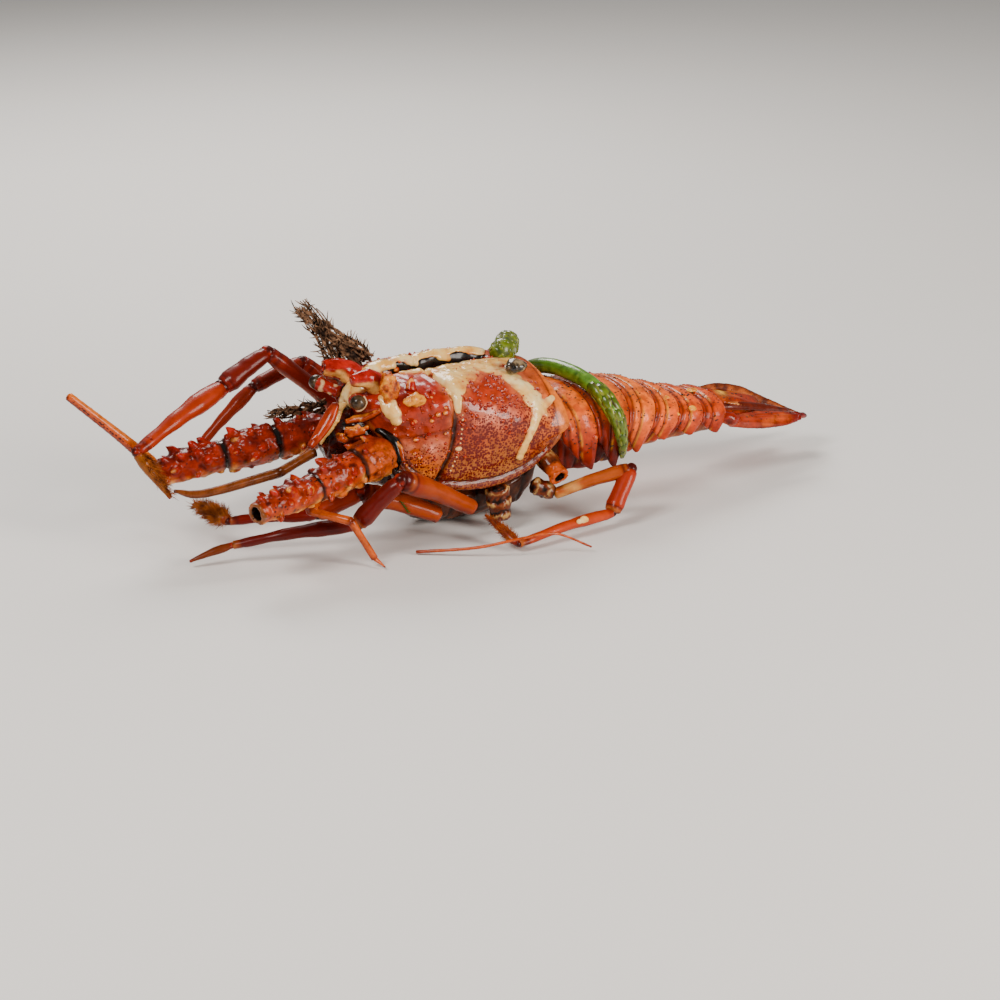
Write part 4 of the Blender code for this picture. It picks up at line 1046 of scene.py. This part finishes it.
def root_piece(name, points, radii, bands, node, bore=None):
    """A short root or stump with brown and cream bands across it."""
    made = even(bar_mesh(points, radii, 20, 18, 0.95, bore=bore), 0.55, 3, 0)
    at, out = points_of(made)
    start, end = np.array(points[0], float), np.array(points[-1], float)
    share = (at - start) @ (end - start) / ((end - start) @ (end - start))
    spread = np.linalg.norm(at - start - share[:, None] * (end - start), axis=1)
    blots = cloudy(at, 4.5, 12) + 0.5 * cloudy(at, 2, 3)
    stripe = np.sin(share * bands * 2 * math.pi + 2.6 * blots)
    swell(made, at, out, 0.7 * blots + 0.3 * stripe)
    ground = coat(
        plain(at, "6A2A0A"),
        ("D8A860", ease(stripe, 0.3, 1.0) * ease(blots, -0.3, 0.3) * 0.85),
        ("140602", ease(-stripe, 0.0, 0.8) * ease(-blots, -0.5, 0.2)),
        ("7A1404", ease(blots, 0.3, 0.8) * 0.7),
        ("BC4A0A", bool(bore) * ease(share, 0.5, 0.7)),
        # Painted shade: inside the hollow end of the fifth leg is near black.
        ("1A0D07", bool(bore) * (spread < 0.66 * radii[-1]) * ease(share, 0.3, 0.5)),
    )
    dressed(name, made, ground, 0.3, stump_chitin, "flesh", node)


root_piece("leg_left4_root", ((33, -33, 22), (42.6, -38.2, 17.6)), (5.2, 5.2, 4.5), 1.6, "leg_left4_basis")
root_piece("stump_left3_root", ((10, -31.5, 24), (11.5, -34, 7)), (7.0, 7.0, 6.8, 5.8), 2.4, "stump_left3")
root_piece("stump_left5_ring", ((42, -29, 37), (43.5, -44, 28)), (6.0, 6.2, 5.6, 5.5), 1.2, "stump_left5",
           (0.64, 5))
FOLDED = {"leg_right3": ((0, 37, 17), (14, 60, 33), (24, 72, 10), (-2, 78, 4.5)),
          "leg_right4": ((22, 37, 15), (40, 58, 31), (51, 70, 9), (30, 80, 4.5)),
          "leg_right5": ((40, 36, 21), (62, 50, 28), (70, 60, 8), (58, 76, 4.0))}
for name, line in FOLDED.items():
    rods(name + "_folded", ((line, (4.5, 4.4, 4.7, 4.6, 4.1, 3.4, 2.4, 1.3), 40),), "shell",
         "A83A08", "5E0C00", name, sides=18)

# ---------------- abdomen
# Six overlapping rings of thinner shell, each with a fine cross groove and a pointed plate down
# each side. The chitin is salmon-orange and oily, and the cook's pepper sticks to it. Shade is
# painted low on the rings and in their grooves.

ring_chitin = shell_finish("salmon_ring_chitin", "6E1000", 2.6, 0.4, 0.28, 0.08, 0.9)
JOINTS = ((47, 54), (72, 75), (100, 91), (121, 107), (138, 126), (155, 147), (171, 168))
TOPS = ((46, 71.5), (72, 69.5), (100, 67.5), (121, 61.5), (138, 56.0), (155, 51.5), (172, 48.5))
JOINT_FOOT_Z = 30.0


def joint_x(k, height):
    """Where a slanted joint between two rings runs, at each height."""
    top, foot = JOINTS[k]
    return foot + (top - foot) * (height - JOINT_FOOT_Z) / (np.interp(top, *zip(*TOPS)) - JOINT_FOOT_Z)


peppered = []
for k in range(6):
    node = f"abdomen_{k + 1}"
    ring = even(solid_of(node, keep=0.9), 0.7, 3, 2)
    at, out = points_of(ring)
    near, far = joint_x(k, at[:, 2]), joint_x(k + 1, at[:, 2])
    lumps = cloudy(at, 8, k) + 0.5 * cloudy(at, 3, k)
    share = (at[:, 0] - near) / (far - near) + 0.02 * lumps
    length = far - near
    seen = (np.hypot(out[:, 1], out[:, 2]) > 0.5) & ((np.abs(at[:, 1]) > 24 - k) | (out[:, 2] > 0.2))
    groove = hump((share - 0.44) * length, 0, 0.9) * seen
    front_line = hump((share - 0.16) * length, 0, 1.1) * seen
    raised = hump(share, 0.72, 0.2) * seen
    fringe = ease(share, 0.93, 0.99) * seen
    swell(ring, at, out, 0.18 * lumps - 0.9 * groove - 0.7 * front_line + 0.6 * raised)
    down = 1 - ease(at[:, 2], 30, 50)
    ground = coat(
        # The first two rings are darker, partly their own colour and partly painted shade.
        plain(at, ("BC3804", "AC2C04", "F46408", "F25C08", "E85208", "D84806")[k]),
        ("F87A1E", ease(at[:, 2] + 5 * lumps, 44, 64) * 0.6),
        ("A82602", ease(lumps, 0.15, 0.8) * 0.7),
        ("9A2000", ease(cloudy(at, 4.5, 20 + k), 0.05, 0.5) * 0.5),
        ("8A1A00", (1 - ease(share, 0.0, 0.24)) * 0.85),
        # Painted shade: each ring is darker towards the bottom, most of all the first two.
        (("7A1400", "560A00", "B03000", "A82A00", "A02600", "962200")[k], down * 0.9),
        ("F0A02A", 0.8 * hump((share - 0.5) * length, 0, 0.5) * ease(cloudy(at, 6, 2), -0.3, 0.2)),
        # Painted shade in the cross groove and the front line, which are pressed in; the rear fringe is
        # darkened too.
        ("4A0800", 0.8 * groove + 0.8 * front_line + 0.6 * fringe),
        ("8A4A1A", (~seen) * 0.6),
    )
    painted(ring, ground, 0.2 * ease(cloudy(at, 9, 3), 0, 0.5) * seen)
    paint(ring, "oily", 1.0 * seen * (out[:, 2] > -0.2))
    peppered.append(ring.copy())
    piece_of(node + "_ring", ring, ring_chitin, "tail_shell", node)

# ---------------- tail fan
# Five leaves of stiff, ribbed chitin: the telson in the middle over two uropods on each side,
# half folded. Their edges have burnt to a darker brown.

leaf_chitin = shell_finish("ribbed_leaf_chitin", "4A0A00", 2.4, 0.32, 0.4, 0.12)
LEAVES = {
    "telson": ((171.8, 1, 45.5), (207, 1.5, 37.0), 26, 0),
    "uropod_left_inner": ((173, -10.5, 36), (236, -3.5, 24), 17, 20),
    "uropod_left_outer": ((172.8, -21, 34.5), (222, -20.5, 29.5), 13.5, 36),
    "uropod_right_inner": ((173, 11.5, 38), (247, 8.5, 18.5), 17.5, -12),
    "uropod_right_outer": ((172, 24, 31), (230, 28, 20), 13, -24),
}
for node, (base, tip, width, roll) in LEAVES.items():
    leaf = even(solid_of(node, keep=1.0), 0.5, 2, 2)
    at, out = points_of(leaf)
    base, tip = np.array(base, float), np.array(tip, float)
    length = np.linalg.norm(tip - base)
    way = (tip - base) / length
    share = (at - base) @ way / length
    across = Vector(way).cross(Matrix.Rotation(math.radians(roll), 3, Vector(way)) @ Vector((0, 0, 1)))
    aside = (at - base) @ np.array(across.normalized()) / (width / 2)
    lumps = cloudy(at, 7, 5)
    ribs = np.sin(aside / (0.35 + 0.65 * share) * 9 + 0.5 * lumps)
    keel = hump(aside, 0, 0.14) * (out[:, 2] > 0.2)
    swell(leaf, at, out, 0.14 * ribs * ease(share, 0.1, 0.4) + 0.7 * keel + 0.2 * lumps)
    edge = np.maximum(ease(np.abs(aside), 0.72, 0.98), ease(share, 0.86, 0.99))
    base, pale = ("9A2A02", "C8520A") if node in ("telson", "uropod_left_outer") else ("761400", "A03004")
    ground = coat(
        plain(at, base),
        (pale, ease(lumps, 0, 0.7)),
        ("8A2402", 0.5 * ease(ribs, 0.2, 0.9)),
        ("E8A050" if node == "telson" else "3A0800", edge * 0.7),
        ("7A0A02", ease(share, 0.8, 0.95) * 0.8),
        ("8E1E04", 1 - ease(share, 0.0, 0.16)),
        ("E8A83C", (node == "telson") * hump(share, 0.24, 0.1) * hump(aside, 0.1, 0.3)),
    )
    painted(leaf, ground, 0.25)
    paint(leaf, "oily", (out[:, 2] > 0.2) * 0.4)
    peppered.append(leaf.copy())
    piece_of(node + "_leaf", leaf, leaf_chitin, "tail_shell", node)

# Folds of the far leaves show as a dark strip along the top of the fan, with a red knob at its foot.
FOLDS = (  # line, radii, flatness, colour
    (((166, 9, 45), (184, 11, 43), (202, 12, 36.5), (224, 12, 26.5), (246, 10, 18)),
     (2, 4.6, 6.2, 4.4, 1.6), 0.3, "6A2A10"),
    (((173, -8, 39.5), (188, -8, 37.5), (206, -7, 33.5), (226, -5, 28.5)),
     (2.6, 3.8, 3.4, 1.2), 0.85, "621A04"),
    (((167, -20.5, 38.5), (173, -22.5, 36), (179, -21, 34)), (3.4, 4.6, 2.6), 0.9, "8E1C02"),
    (((234, -4, 24), (241, 0, 21.5), (247, 5, 19)), (2.2, 2.8, 0.8), 0.7, "7A0604"),
)
for k, (line, radii, flatness, colour) in enumerate(FOLDS):
    fold_piece = bar_mesh(line, radii, 20, 40, flatness, (0, 1, 0) if k == 0 else (0, 0, 1))
    at, out = points_of(fold_piece)
    lumps = cloudy(at, 4, 3 + k)
    swell(fold_piece, at, out, 0.3 * lumps)
    ground = coat(plain(at, colour),
                  ("D86A1A", 0.6 * ease(stored(fold_piece, "below"), 0.3, 0.9) * ease(lumps, -0.2, 0.3)),
                  ("3A0A02", 0.7 * ease(-lumps, 0.1, 0.5)))
    dressed(f"fan_fold_{k + 1}", fold_piece, ground, 0.3, leaf_chitin, "tail_shell")

# Cracked pepper and dried herb: black and olive flakes, 0.3 to 0.8 mm across.
pepper_flake = speckled("cracked_pepper", 400, 2, 0.5, (0.45, "14100C"), (0.7, "2E2E14"), Roughness=0.6)
bm = bmesh.new()
ball(bm, (0, 0, 0.1), (0.5, 0.32, 0.2), detail=1)
pepper = strewn(joined(*peppered), mesh_of(bm), pepper_flake, "oily", 0.08, 0.6, 1.6, 31, tumble=0.3)
piece_of("pepper_on_tail", pepper, pepper_flake, "mushroom")

# ---------------- asparagus
# A steamed green spear is laid across the tail and a second one behind the shell. The stem is
# smooth and waxy; towards the tip, narrow overlapping scales close over the bud.

spear_skin, tree, shader = finish("steamed_asparagus", Roughness=0.3, Specular_IOR_Level=0.3,
                                  Coat_Weight=0.4, Coat_Roughness=0.12)
where = add(tree, "ShaderNodeTexCoord").outputs["Object"]
tint = add(tree, "ShaderNodeAttribute", attribute_name="tint")
vary = add(tree, "ShaderNodeTexNoise", {"Vector": where, "Scale": 320, "Detail": 4})
light = add(tree, "ShaderNodeMapRange", {"Value": vary.outputs["Fac"], "From Min": 0.3, "From Max": 0.7,
                                         "To Min": 0.65, "To Max": 1.3})
shade = add(tree, "ShaderNodeVectorMath", {0: tint.outputs["Color"], 1: light.outputs["Result"]},
            operation="MULTIPLY")
tree.links.new(shade.outputs[0], shader.inputs["Base Color"])
bump = add(tree, "ShaderNodeBump", {"Height": vary.outputs["Fac"], "Strength": 0.4, "Distance": 0.0003})
tree.links.new(bump.outputs["Normal"], shader.inputs["Normal"])
SCALE_ROWS, SCALE_COLUMNS, SCALE_THICK = 6, 5, 0.35


def rim_of(grid):
    """The points around the edge of a grid, in order."""
    return ([row[0] for row in grid] + grid[-1][1:] + [row[-1] for row in grid[-2::-1]]
            + grid[0][-2:0:-1])


def spear(name, points, radii, scaled_from, scale_count, scale_size, node, steps=90):
    """A green stem along a line with scales that overlap towards its far end."""
    bm = bmesh.new()
    line = bar(bm, points, radii, 20, steps)
    stem = mesh_of(bm)
    at, out = points_of(stem)
    along = stored(stem, "along")
    ribs = np.sin(np.arctan2(at[:, 2] - along_line(along, line[:, 2]), at[:, 0]) * 5)
    swell(stem, at, out, 0.12 * ribs + 0.15 * cloudy(at, 4))
    bud = "bud" in name
    ground = coat(plain(at, "5A6A06" if bud else "568420"),
                  ("36460A" if bud else "2E560C", ease(cloudy(at, 5, 4), 0, 0.5)),
                  ("8A963A" if bud else "8CA63A", 0.5 * ease(cloudy(at, 3, 8), 0.1, 0.5)))
    paint(stem, "tint", ground)
    bm = bmesh.new()
    bm.from_mesh(stem)
    tint_layer = bm.verts.layers.float_color["tint"]
    widths = along_line(np.linspace(0, 1, steps), radii)
    rng = np.random.default_rng(5)
    for k in range(scale_count):
        share = scaled_from + (0.985 - scaled_from) * (k + 0.5) / scale_count
        spot = min(int(share * (steps - 1)), steps - 2)
        way = Vector(line[spot + 1] - line[spot]).normalized()
        across, top = sides_of(way, (0.2, 0.1, 1))
        angle = 2.4 * k + rng.uniform(-0.15, 0.15)
        outward = around(across, top, angle)
        tangent = way.cross(outward)
        small = 1 - 0.45 * (k / scale_count)
        long, wide = scale_size[0] * small * rng.uniform(0.9, 1.15), scale_size[1] * small
        rows = []
        for t in np.linspace(0, 1, SCALE_ROWS):
            half = wide / 2 * (math.sin(math.pi * min(0.95, 0.28 + 0.68 * t)) ** 0.8)
            reach = min(spot + int(long * t / max(0.1, np.linalg.norm(line[1] - line[0]))), steps - 1)
            base_at = Vector(line[reach]) if reach < steps - 1 else Vector(line[-1]) + way * (0.3 * long * t)
            off = widths[reach] + 0.15 + 1.0 * math.sin(math.pi * t * 0.9) * small - (0.4 * t**3)
            row = []
            for u in np.linspace(-1, 1, SCALE_COLUMNS):
                curl = 0.42 * wide * u * u * 0.5
                point = base_at + outward * max(0.1, off - curl) + tangent * (half * u)
                row.append((point, t, abs(u)))
            rows.append(row)
        for lift in (0.0, -SCALE_THICK):
            grid = []
            for row in rows:
                grid.append([])
                for point, t, u in row:
                    vert = bm.verts.new(point + outward * lift)
                    shade_at = np.array(linear("2E4A06")) * (1 - t) + np.array(linear("6E7E12")) * t
                    if u > 0.7 or t > 0.85:
                        shade_at = np.array(linear("8E9630" if rng.uniform() > 0.35 else "46301E"))
                    vert[tint_layer] = (*shade_at, 1)
                    grid[-1].append(vert)
            for low, high in zip(grid, grid[1:]):
                for j in range(SCALE_COLUMNS - 1):
                    face = (low[j], low[j + 1], high[j + 1], high[j])
                    bm.faces.new(face if lift == 0 else face[::-1])
            if lift == 0:
                upper = grid
            else:
                loop_up, loop_low = rim_of(upper), rim_of(grid)
                for a in range(len(loop_up)):
                    b = (a + 1) % len(loop_up)
                    bm.faces.new((loop_up[a], loop_up[b], loop_low[b], loop_low[a]))
    piece_of(name, mesh_of(bm), spear_skin, "asparagus", node)


SPEAR_X, SPEAR_TURN, SPEAR_REACH = (64, 90), (62, -122), 5.7
SECTIONS = ((46, 36, 71.5, 24), (72, 36.5, 69.5, 24), (100, 35, 67.5, 26))
line = []
for k in range(14):
    share = k / 13
    sx = SPEAR_X[0] + (SPEAR_X[1] - SPEAR_X[0]) * share
    turn = math.radians(SPEAR_TURN[0] + (SPEAR_TURN[1] - SPEAR_TURN[0]) * share)
    places, *measures = zip(*SECTIONS)
    half, top_z, low_z = (np.interp(sx, places, measure) for measure in measures)
    mid_z = (top_z + low_z) / 2
    aside, rise = (math.copysign(abs(wave) ** (2 / 2.3), wave) for wave in (math.sin(turn), math.cos(turn)))
    line.append((sx, (half + SPEAR_REACH) * aside, mid_z + (top_z - mid_z + SPEAR_REACH) * rise))
spear("asparagus_spear_scaled", line, (4.1, 4.4, 4.6, 4.7, 4.6, 4.6, 4.2, 2.6, 0.8), 0.5, 40, (13, 6.6),
      "asparagus_spear")
spear("asparagus_bud_scaled",
      ((62, 53, 72), (57, 40, 83), (50, 26, 89.3), (43, 13, 91.8), (34.5, 3, 91.8), (27.5, 0, 90.8)),
      (4.6, 4.8, 5.2, 5.8, 6.7, 6.9, 4.4), 0.45, 40, (9.0, 6.6), "asparagus_bud", 60)

# ---------------- burnt herb sprigs
# Two sprigs of thyme and rosemary, charred brown on the grill: woody stems with short, curled
# needles that catch in each other, dense at the foot and open towards the tip.

burnt_leaf = speckled("charred_herb", 300, 3, 0.5, (0.38, "1E1008"), (0.66, "9A7254"), Roughness=0.8,
                      Specular_IOR_Level=0.2)


def needle(long, wide, curl):
    """A curled herb needle on its base at the origin, with a dozen faces. Millimetres."""
    return bar_mesh(((0, 0, 0), (curl * 0.3, 0, long * 0.5), (curl, 0.2 * curl, long)),
                    (0.4 * wide, 0.5 * wide, 0.15 * wide), 4, 4)


def sprig(name, base, tip, wide, narrow, stems, density, seed, node):
    """A bundle of crooked stems in two strands over a dark core, with needles strewn along them."""
    rng = np.random.default_rng(seed)
    base, tip = np.array(base, float), np.array(tip, float)
    way = (tip - base) / np.linalg.norm(tip - base)
    across = np.cross(way, (0, 1, 0))
    across /= np.linalg.norm(across)
    other = np.cross(way, across)
    core = bar_mesh((base, base + (tip - base) * 0.25, base + (tip - base) * 0.5),
                    (0.36 * wide, 0.26 * wide, 0.05 * wide), 12, 14)
    core_mesh = even(core, 0.7, 1, 0)
    at, out = points_of(core_mesh)
    swell(core_mesh, at, out, 1.6 * cloudy(at, 3.0, seed))
    bm = bmesh.new()
    for k in range(stems):
        low_strand = k % 2
        reach = rng.uniform(0.7, 1.0) if low_strand else rng.uniform(0.5, 0.95)
        foot_side, foot_back = rng.uniform(-1.1, 1.9) * wide, rng.uniform(-0.6, 0.6) * wide
        tip_side = narrow * (rng.uniform(0.2, 1.1) if low_strand else rng.uniform(-1.2, -0.2))
        phase, turns = rng.uniform(0, 6), rng.uniform(1.2, 2.6)
        points = []
        for t in np.linspace(-0.1, reach, 9):
            keep = min(1, 1 - t) ** 1.4
            side = foot_side * keep + tip_side * (1 - keep) + 1.3 * math.sin(phase + turns * 6 * t)
            back = foot_back * keep + 1.3 * math.cos(phase + turns * 5 * t)
            points.append(base + (tip - base) * t + across * side + other * back)
        bar(bm, points, (0.75, 0.6, 0.5, 0.3), 6, 30)
    stems_mesh = mesh_of(bm)
    paint(stems_mesh, "leafy", np.clip(0.4 + 1.2 * cloudy(points_of(stems_mesh)[0], 5, seed), 0, 1))
    leaves = strewn(stems_mesh, needle(5.6, 0.8, 1.6), burnt_leaf, "leafy", density, 0.5, 1.2, seed,
                    lean=tuple(way * 2.0), tumble=1.7)
    piece_of(name + "_core", core_mesh, burnt_leaf, "herb", node)
    piece_of(name + "_stems", stems_mesh, burnt_leaf, "herb")
    piece_of(name + "_needles", leaves, burnt_leaf, "herb")


sprig("sprig_large", (-46, 27.5, 92), (-84, 26, 130.5), 9.0, 4.2, 30, 0.28, 3, "sprig_large")
sprig("sprig_small", (-66, 35, 66), (-102, 34, 66), 2.6, 2.2, 14, 0.22, 9, "sprig_small")

# ---------------- grilled pieces
# A chunk of fried crust and a nugget of browned cheese sit on the shell behind the left horn,
# and a slice of dark mushroom glazed in sauce lies against the second asparagus tip.


def browned_finish(name, low, middle, high, roughness, gloss):
    """Fried or grilled food: pale where it stayed soft, darker where it browned."""
    return speckled(name, 230, 5, 0.6, (0.36, low), (0.5, middle), (0.66, high), bump=(0.5, 0.0005),
                    Roughness=roughness, Specular_IOR_Level=0.25, Coat_Weight=gloss, Coat_Roughness=0.12,
                    Subsurface_Weight=0.08, Subsurface_Scale=0.002)


crust = browned_finish("fried_crust", "6E2402", "C45A04", "EE9C2C", 0.45, 0.2)
nugget = browned_finish("browned_cheese", "9A4C04", "DA8210", "F0AA38", 0.4, 0.25)
wet_mushroom = browned_finish("glazed_mushroom", "0C0805", "3A2C1C", "9A8260", 0.2, 0.6)
for node, look, slot, rough in (("crust_chunk", crust, "fried", 1.3),
                                ("cheese_nugget", nugget, "fried", 0.9),
                                ("mushroom", wet_mushroom, "mushroom", 0.5)):
    lump = even(solid_of(node), 0.45, 4, 1)
    at, out = points_of(lump)
    swell(lump, at, out, rough * cloudy(at, 3.2, 2) + 0.4 * rough * cloudy(at, 1.4, 5) + 0.15)
    piece_of(node + "_piece", lump, look, slot, node)

# ---------------- cheese sauce
# Hot cheese sauce has been poured over the shell and has set in a thick skin: ivory, with
# yellow and browned spots, and rounded drips that end in drops.

sauce_finish = speckled("set_cheese_sauce", 95, 3, 0.55, (0.33, "E0A048"), (0.5, "F4C26C"), (0.68, "F8DC9C"),
                        bump=(0.4, 0.0006), Roughness=0.26, Specular_IOR_Level=0.25, Coat_Weight=0.5,
                        Coat_Roughness=0.08, Subsurface_Weight=0.12, Subsurface_Scale=0.003)
tree = sauce_finish.node_tree
sauce_colour = tree.nodes["Principled BSDF"].inputs["Base Color"]
where = add(tree, "ShaderNodeTexCoord").outputs["Object"]
spots = add(tree, "ShaderNodeTexNoise", {"Vector": where, "Scale": 210, "Detail": 2})
browned = add(tree, "ShaderNodeMapRange", {"Value": spots.outputs["Fac"], "From Min": 0.62, "From Max": 0.74,
                                           "To Max": 0.75})
mixed = add(tree, "ShaderNodeMix", {"Factor": browned.outputs["Result"], 6: sauce_colour.links[0].from_socket,
                                    7: (*linear("D07A10"), 1)}, data_type="RGBA")
thin = add(tree, "ShaderNodeAttribute", attribute_name="thin")
clear = add(tree, "ShaderNodeMath", {0: thin.outputs["Fac"], 1: 0.7}, operation="MULTIPLY")
through = add(tree, "ShaderNodeMix", {"Factor": clear.outputs[0], 6: mixed.outputs[2],
                                      7: (*linear("C4501E"), 1)}, data_type="RGBA")
tree.links.new(through.outputs[2], sauce_colour)


def poured(name, strokes, seed, soften=9):
    """Sauce along strokes of (x, y, z, width, thickness): small flat drops melted into one skin."""
    bm = bmesh.new()
    rng = np.random.default_rng(seed)
    for stroke in strokes:
        stroke = np.array(stroke, float)
        for a, b in zip(stroke, stroke[1:]):
            run = (b - a)[:3]
            pace = max(2, int(np.linalg.norm(run) / 1.3))
            for t in np.linspace(0, 1, pace):
                px, py, pz, wide, thick = a + (b - a) * t
                size = min(wide / 2, 3.0)
                lanes = max(1, int(math.ceil((wide / 2 - size) / 1.5)) * 2 + 1)
                found, normal = shell_tree.find_nearest((px, py, pz))[:2]
                aside = normal.cross(Vector(run)).normalized()
                for lane in np.linspace(-1, 1, lanes) if lanes > 1 else (0.0,):
                    reach = lane * (wide / 2 - size) * rng.uniform(0.85, 1.15)
                    spot = Vector((px, py, pz)) + aside * reach
                    found, normal = shell_tree.find_nearest(spot)[:2]
                    if (found - spot).length > 5:
                        found, normal = spot, Vector((0, 0, 1))
                    turn = normal.to_track_quat("Z", "Y").to_matrix().to_4x4()
                    drop = size * rng.uniform(0.85, 1.1)
                    tall = thick * rng.uniform(0.8, 1.15) * (1 - 0.35 * abs(lane))
                    ball(bm, found + normal * (0.15 * tall), (drop, drop, tall), turn, 1 if lanes > 1 else 2)
    made = even(mesh_of(bm), 0.5, soften, 0)
    at, out = points_of(made)
    nearest = [shell_tree.find_nearest(Vector(point)) for point in at]
    depth = np.array([found[3] for found in nearest])
    proud = np.array([(Vector(point) - found[0]).dot(found[1]) for point, found in zip(at, nearest)])
    patchy = cloudy(at, 6, seed + 2) + 0.5 * cloudy(at, 2.5, seed)
    paint(made, "thin", (1 - ease(proud - 0.9 * patchy, 0.2, 1.3)) * (depth < 3))
    swell(made, at, out, 0.22 * cloudy(at, 5, seed))
    return piece_of(name, made, sauce_finish, "flesh")


on_shell = poured("sauce_on_shell", (
    ((-54, 7, 88, 8, 1.2), (-46, 9, 92, 11, 1.5), (-38, 10, 94, 13, 1.5), (-31, 11, 95, 6, 0.9),
     (-24, 11, 95, 12, 1.4), (-14, 12, 95, 9, 1.4), (-2, 12, 95, 12, 1.7), (8, 12, 94.5, 7, 1.2),
     (16, 10, 94, 10, 1.5), (23, 8, 91, 8, 1.3)),
    ((-50, 7, 90, 5, 1.2), (-40, 8, 92, 6, 1.4), (-33, 8.5, 91, 4, 1.1)),
    ((-24, 8.5, 92, 5, 1.3), (-19, 8.3, 90, 4, 1.1)), ((-3, 8.3, 92.5, 6, 1.3), (2, 8.1, 90, 4, 1.0)),
    ((-34, -2, 89.5, 4, 0.9), (-24, -3, 89, 9, 1.2), (-8, -5, 89, 14, 1.7), (6, -6, 89, 15, 1.7),
     (18, -7, 88.5, 14, 1.6), (28, -6, 88, 12, 1.4), (35, -5, 87, 8, 1.2)),
    ((-10, -8, 89, 16, 1.7), (-10, -16, 88.5, 22, 1.9), (-13, -24, 86.5, 19, 1.7), (-16, -31, 84, 13, 1.5),
     (-18, -36, 80, 7, 1.3), (-19, -38.5, 75, 4, 1.0)),
    ((4, -8, 89, 14, 1.4), (1, -16, 88, 13, 1.4), (-3, -23, 86.5, 9, 1.2)),
    ((8, -8, 89, 14, 1.4), (16, -14, 88, 14, 1.5), (22, -21, 86, 13, 1.5), (27, -29, 81, 14, 1.6),
     (31, -35, 74, 15, 1.7), (32, -38, 68.5, 11, 1.7), (28.5, -42, 62, 7, 1.6), (25, -43, 57, 5.4, 1.5),
     (22.5, -42.6, 51, 5, 1.6), (20.4, -41.3, 46, 6.2, 2.2), (19.6, -40.5, 43, 5.2, 2.1)),
    ((31, -35, 74, 8, 1.3), (37, -37, 69.5, 7, 1.2), (44, -34, 71.5, 5, 1.0)),
    ((33, -37, 71, 7, 1.2), (37, -39.5, 64, 4, 1.1)),
), 3)
# Whey and fat from the sauce leave a thin pink film on the shell around it.
skin_tree = tree_of(on_shell.data, 1000)
away = np.array([skin_tree.find_nearest(Vector(point), 9.0)[3] or 9.0 for point in shell_at])
glare_and_whey_film = (1 - ease(away + 2.0 * cloudy(shell_at, 6, 8), 0.6, 4.5)) * shell_outer * (shell_at[:, 2] > 60)
glare_and_whey_film *= ~in_slit
four = np.ones((len(glare_and_whey_film), 4), np.float32)
four[:, :3] = coat(shell_ground, ("E07E4C", 0.42 * glare_and_whey_film * (shell_at[:, 0] < 42)))
shell.attributes["tint"].data.foreach_set("color", four.ravel())
poured("sauce_drop_left", (
    ((-57, -23, 84.5, 6, 1.4), (-55.5, -27.5, 81, 11, 2.4), (-54, -30.5, 75.5, 10.5, 2.8),
     (-53, -31.5, 72, 8, 2.6)),
), 5, 34)
poured("sauce_on_head", (
    ((-60, 5, 86, 8, 1.6), (-63, 2, 85.5, 11, 2.2), (-62, -4, 85.5, 10, 2.2), (-61, -9, 85.5, 6, 1.8)),
    ((-65, 2, 83, 8, 1.8), (-66.5, 5, 79, 7, 1.6), (-67, 7, 74, 5, 1.6)),
    ((-66.5, 1, 80, 9, 2.0), (-71, -4, 78.5, 9, 2.0), (-76, -7, 75.5, 7.5, 2.0), (-79, -8.5, 71, 6, 1.8),
     (-81.5, -8, 67, 4.4, 1.6), (-84, -6.5, 62, 3, 1.2), (-85, -3.5, 57.5, 2.2, 1.0)),
), 7)

# ---------------- cheese and herb bits on the tail
# Small lumps of browned cheese stuck to the tail rings and a shin, a red crumb at the foot of the
# spear, and a shred of fresh herb on the thigh of the first leg.


def lumps_of(name, spots, material, slot, rough=0.3):
    """Small flattened lumps at (x, y, z, wide, tall), melted a little into one another."""
    bm = bmesh.new()
    for px, py, pz, wide, tall in spots:
        outward = Vector((0, py, max(pz - 36, 0) * 1.2 + 4)).normalized()
        turn = outward.to_track_quat("Z", "Y").to_matrix().to_4x4()
        ball(bm, (px, py, pz), (wide, 0.8 * wide, tall), turn, 3)
        ball(bm, (px + 0.5 * wide, py, pz - 0.3), (0.7 * wide, 0.6 * wide, 0.8 * tall), turn, 3)
    made = even(mesh_of(bm), 0.35, 3, 0)
    at, out = points_of(made)
    swell(made, at, out, rough * cloudy(at, 2.2, 4))
    piece_of(name, made, material, slot)


yellow_cheese = browned_finish("yellow_cheese_lump", "C86A08", "EC9818", "F6C050", 0.3, 0.4)
lumps_of("cheese_on_tail", ((129.7, -20.7, 55.2, 1.6, 1.0), (144.3, -25, 47.4, 2.6, 1.3),
                            (132, -28.5, 47, 1.4, 0.9), (157.7, -4, 51.2, 3.4, 0.7)), yellow_cheese, "fried")
red_crumb = browned_finish("red_crumb", "7A1002", "B42C0A", "E07A3A", 0.35, 0.3)
lumps_of("crumb_by_spear", ((71.1, -36.4, 45.2, 2.0, 1.6),), red_crumb, "fried")
fresh_herb = finish("fresh_herb_shred", Base_Color=(*linear("2E5A0E"), 1), Roughness=0.45,
                    Specular_IOR_Level=0.3)[0]
bm = bmesh.new()
for k in range(5):
    foot = Vector((-54.6 + 0.9 * k, -37.0 - 0.2 * k, 29.0 - 1.5 * k))
    tip = foot + Vector((2.4, -0.9, -1.2 - 0.5 * (k % 2)))
    bar(bm, (foot, foot + Vector((0.8, -1.0, -0.9)), tip), (0.3, 0.7, 0.2), 8, 8, 0.4)
piece_of("herb_shred", mesh_of(bm), fresh_herb, "herb")
lumps_of("blob_on_shin", ((43.8, -69.4, 10.6, 2.6, 1.6), (40.5, -69.8, 10.2, 1.8, 1.2)), sauce_finish,
         "flesh")
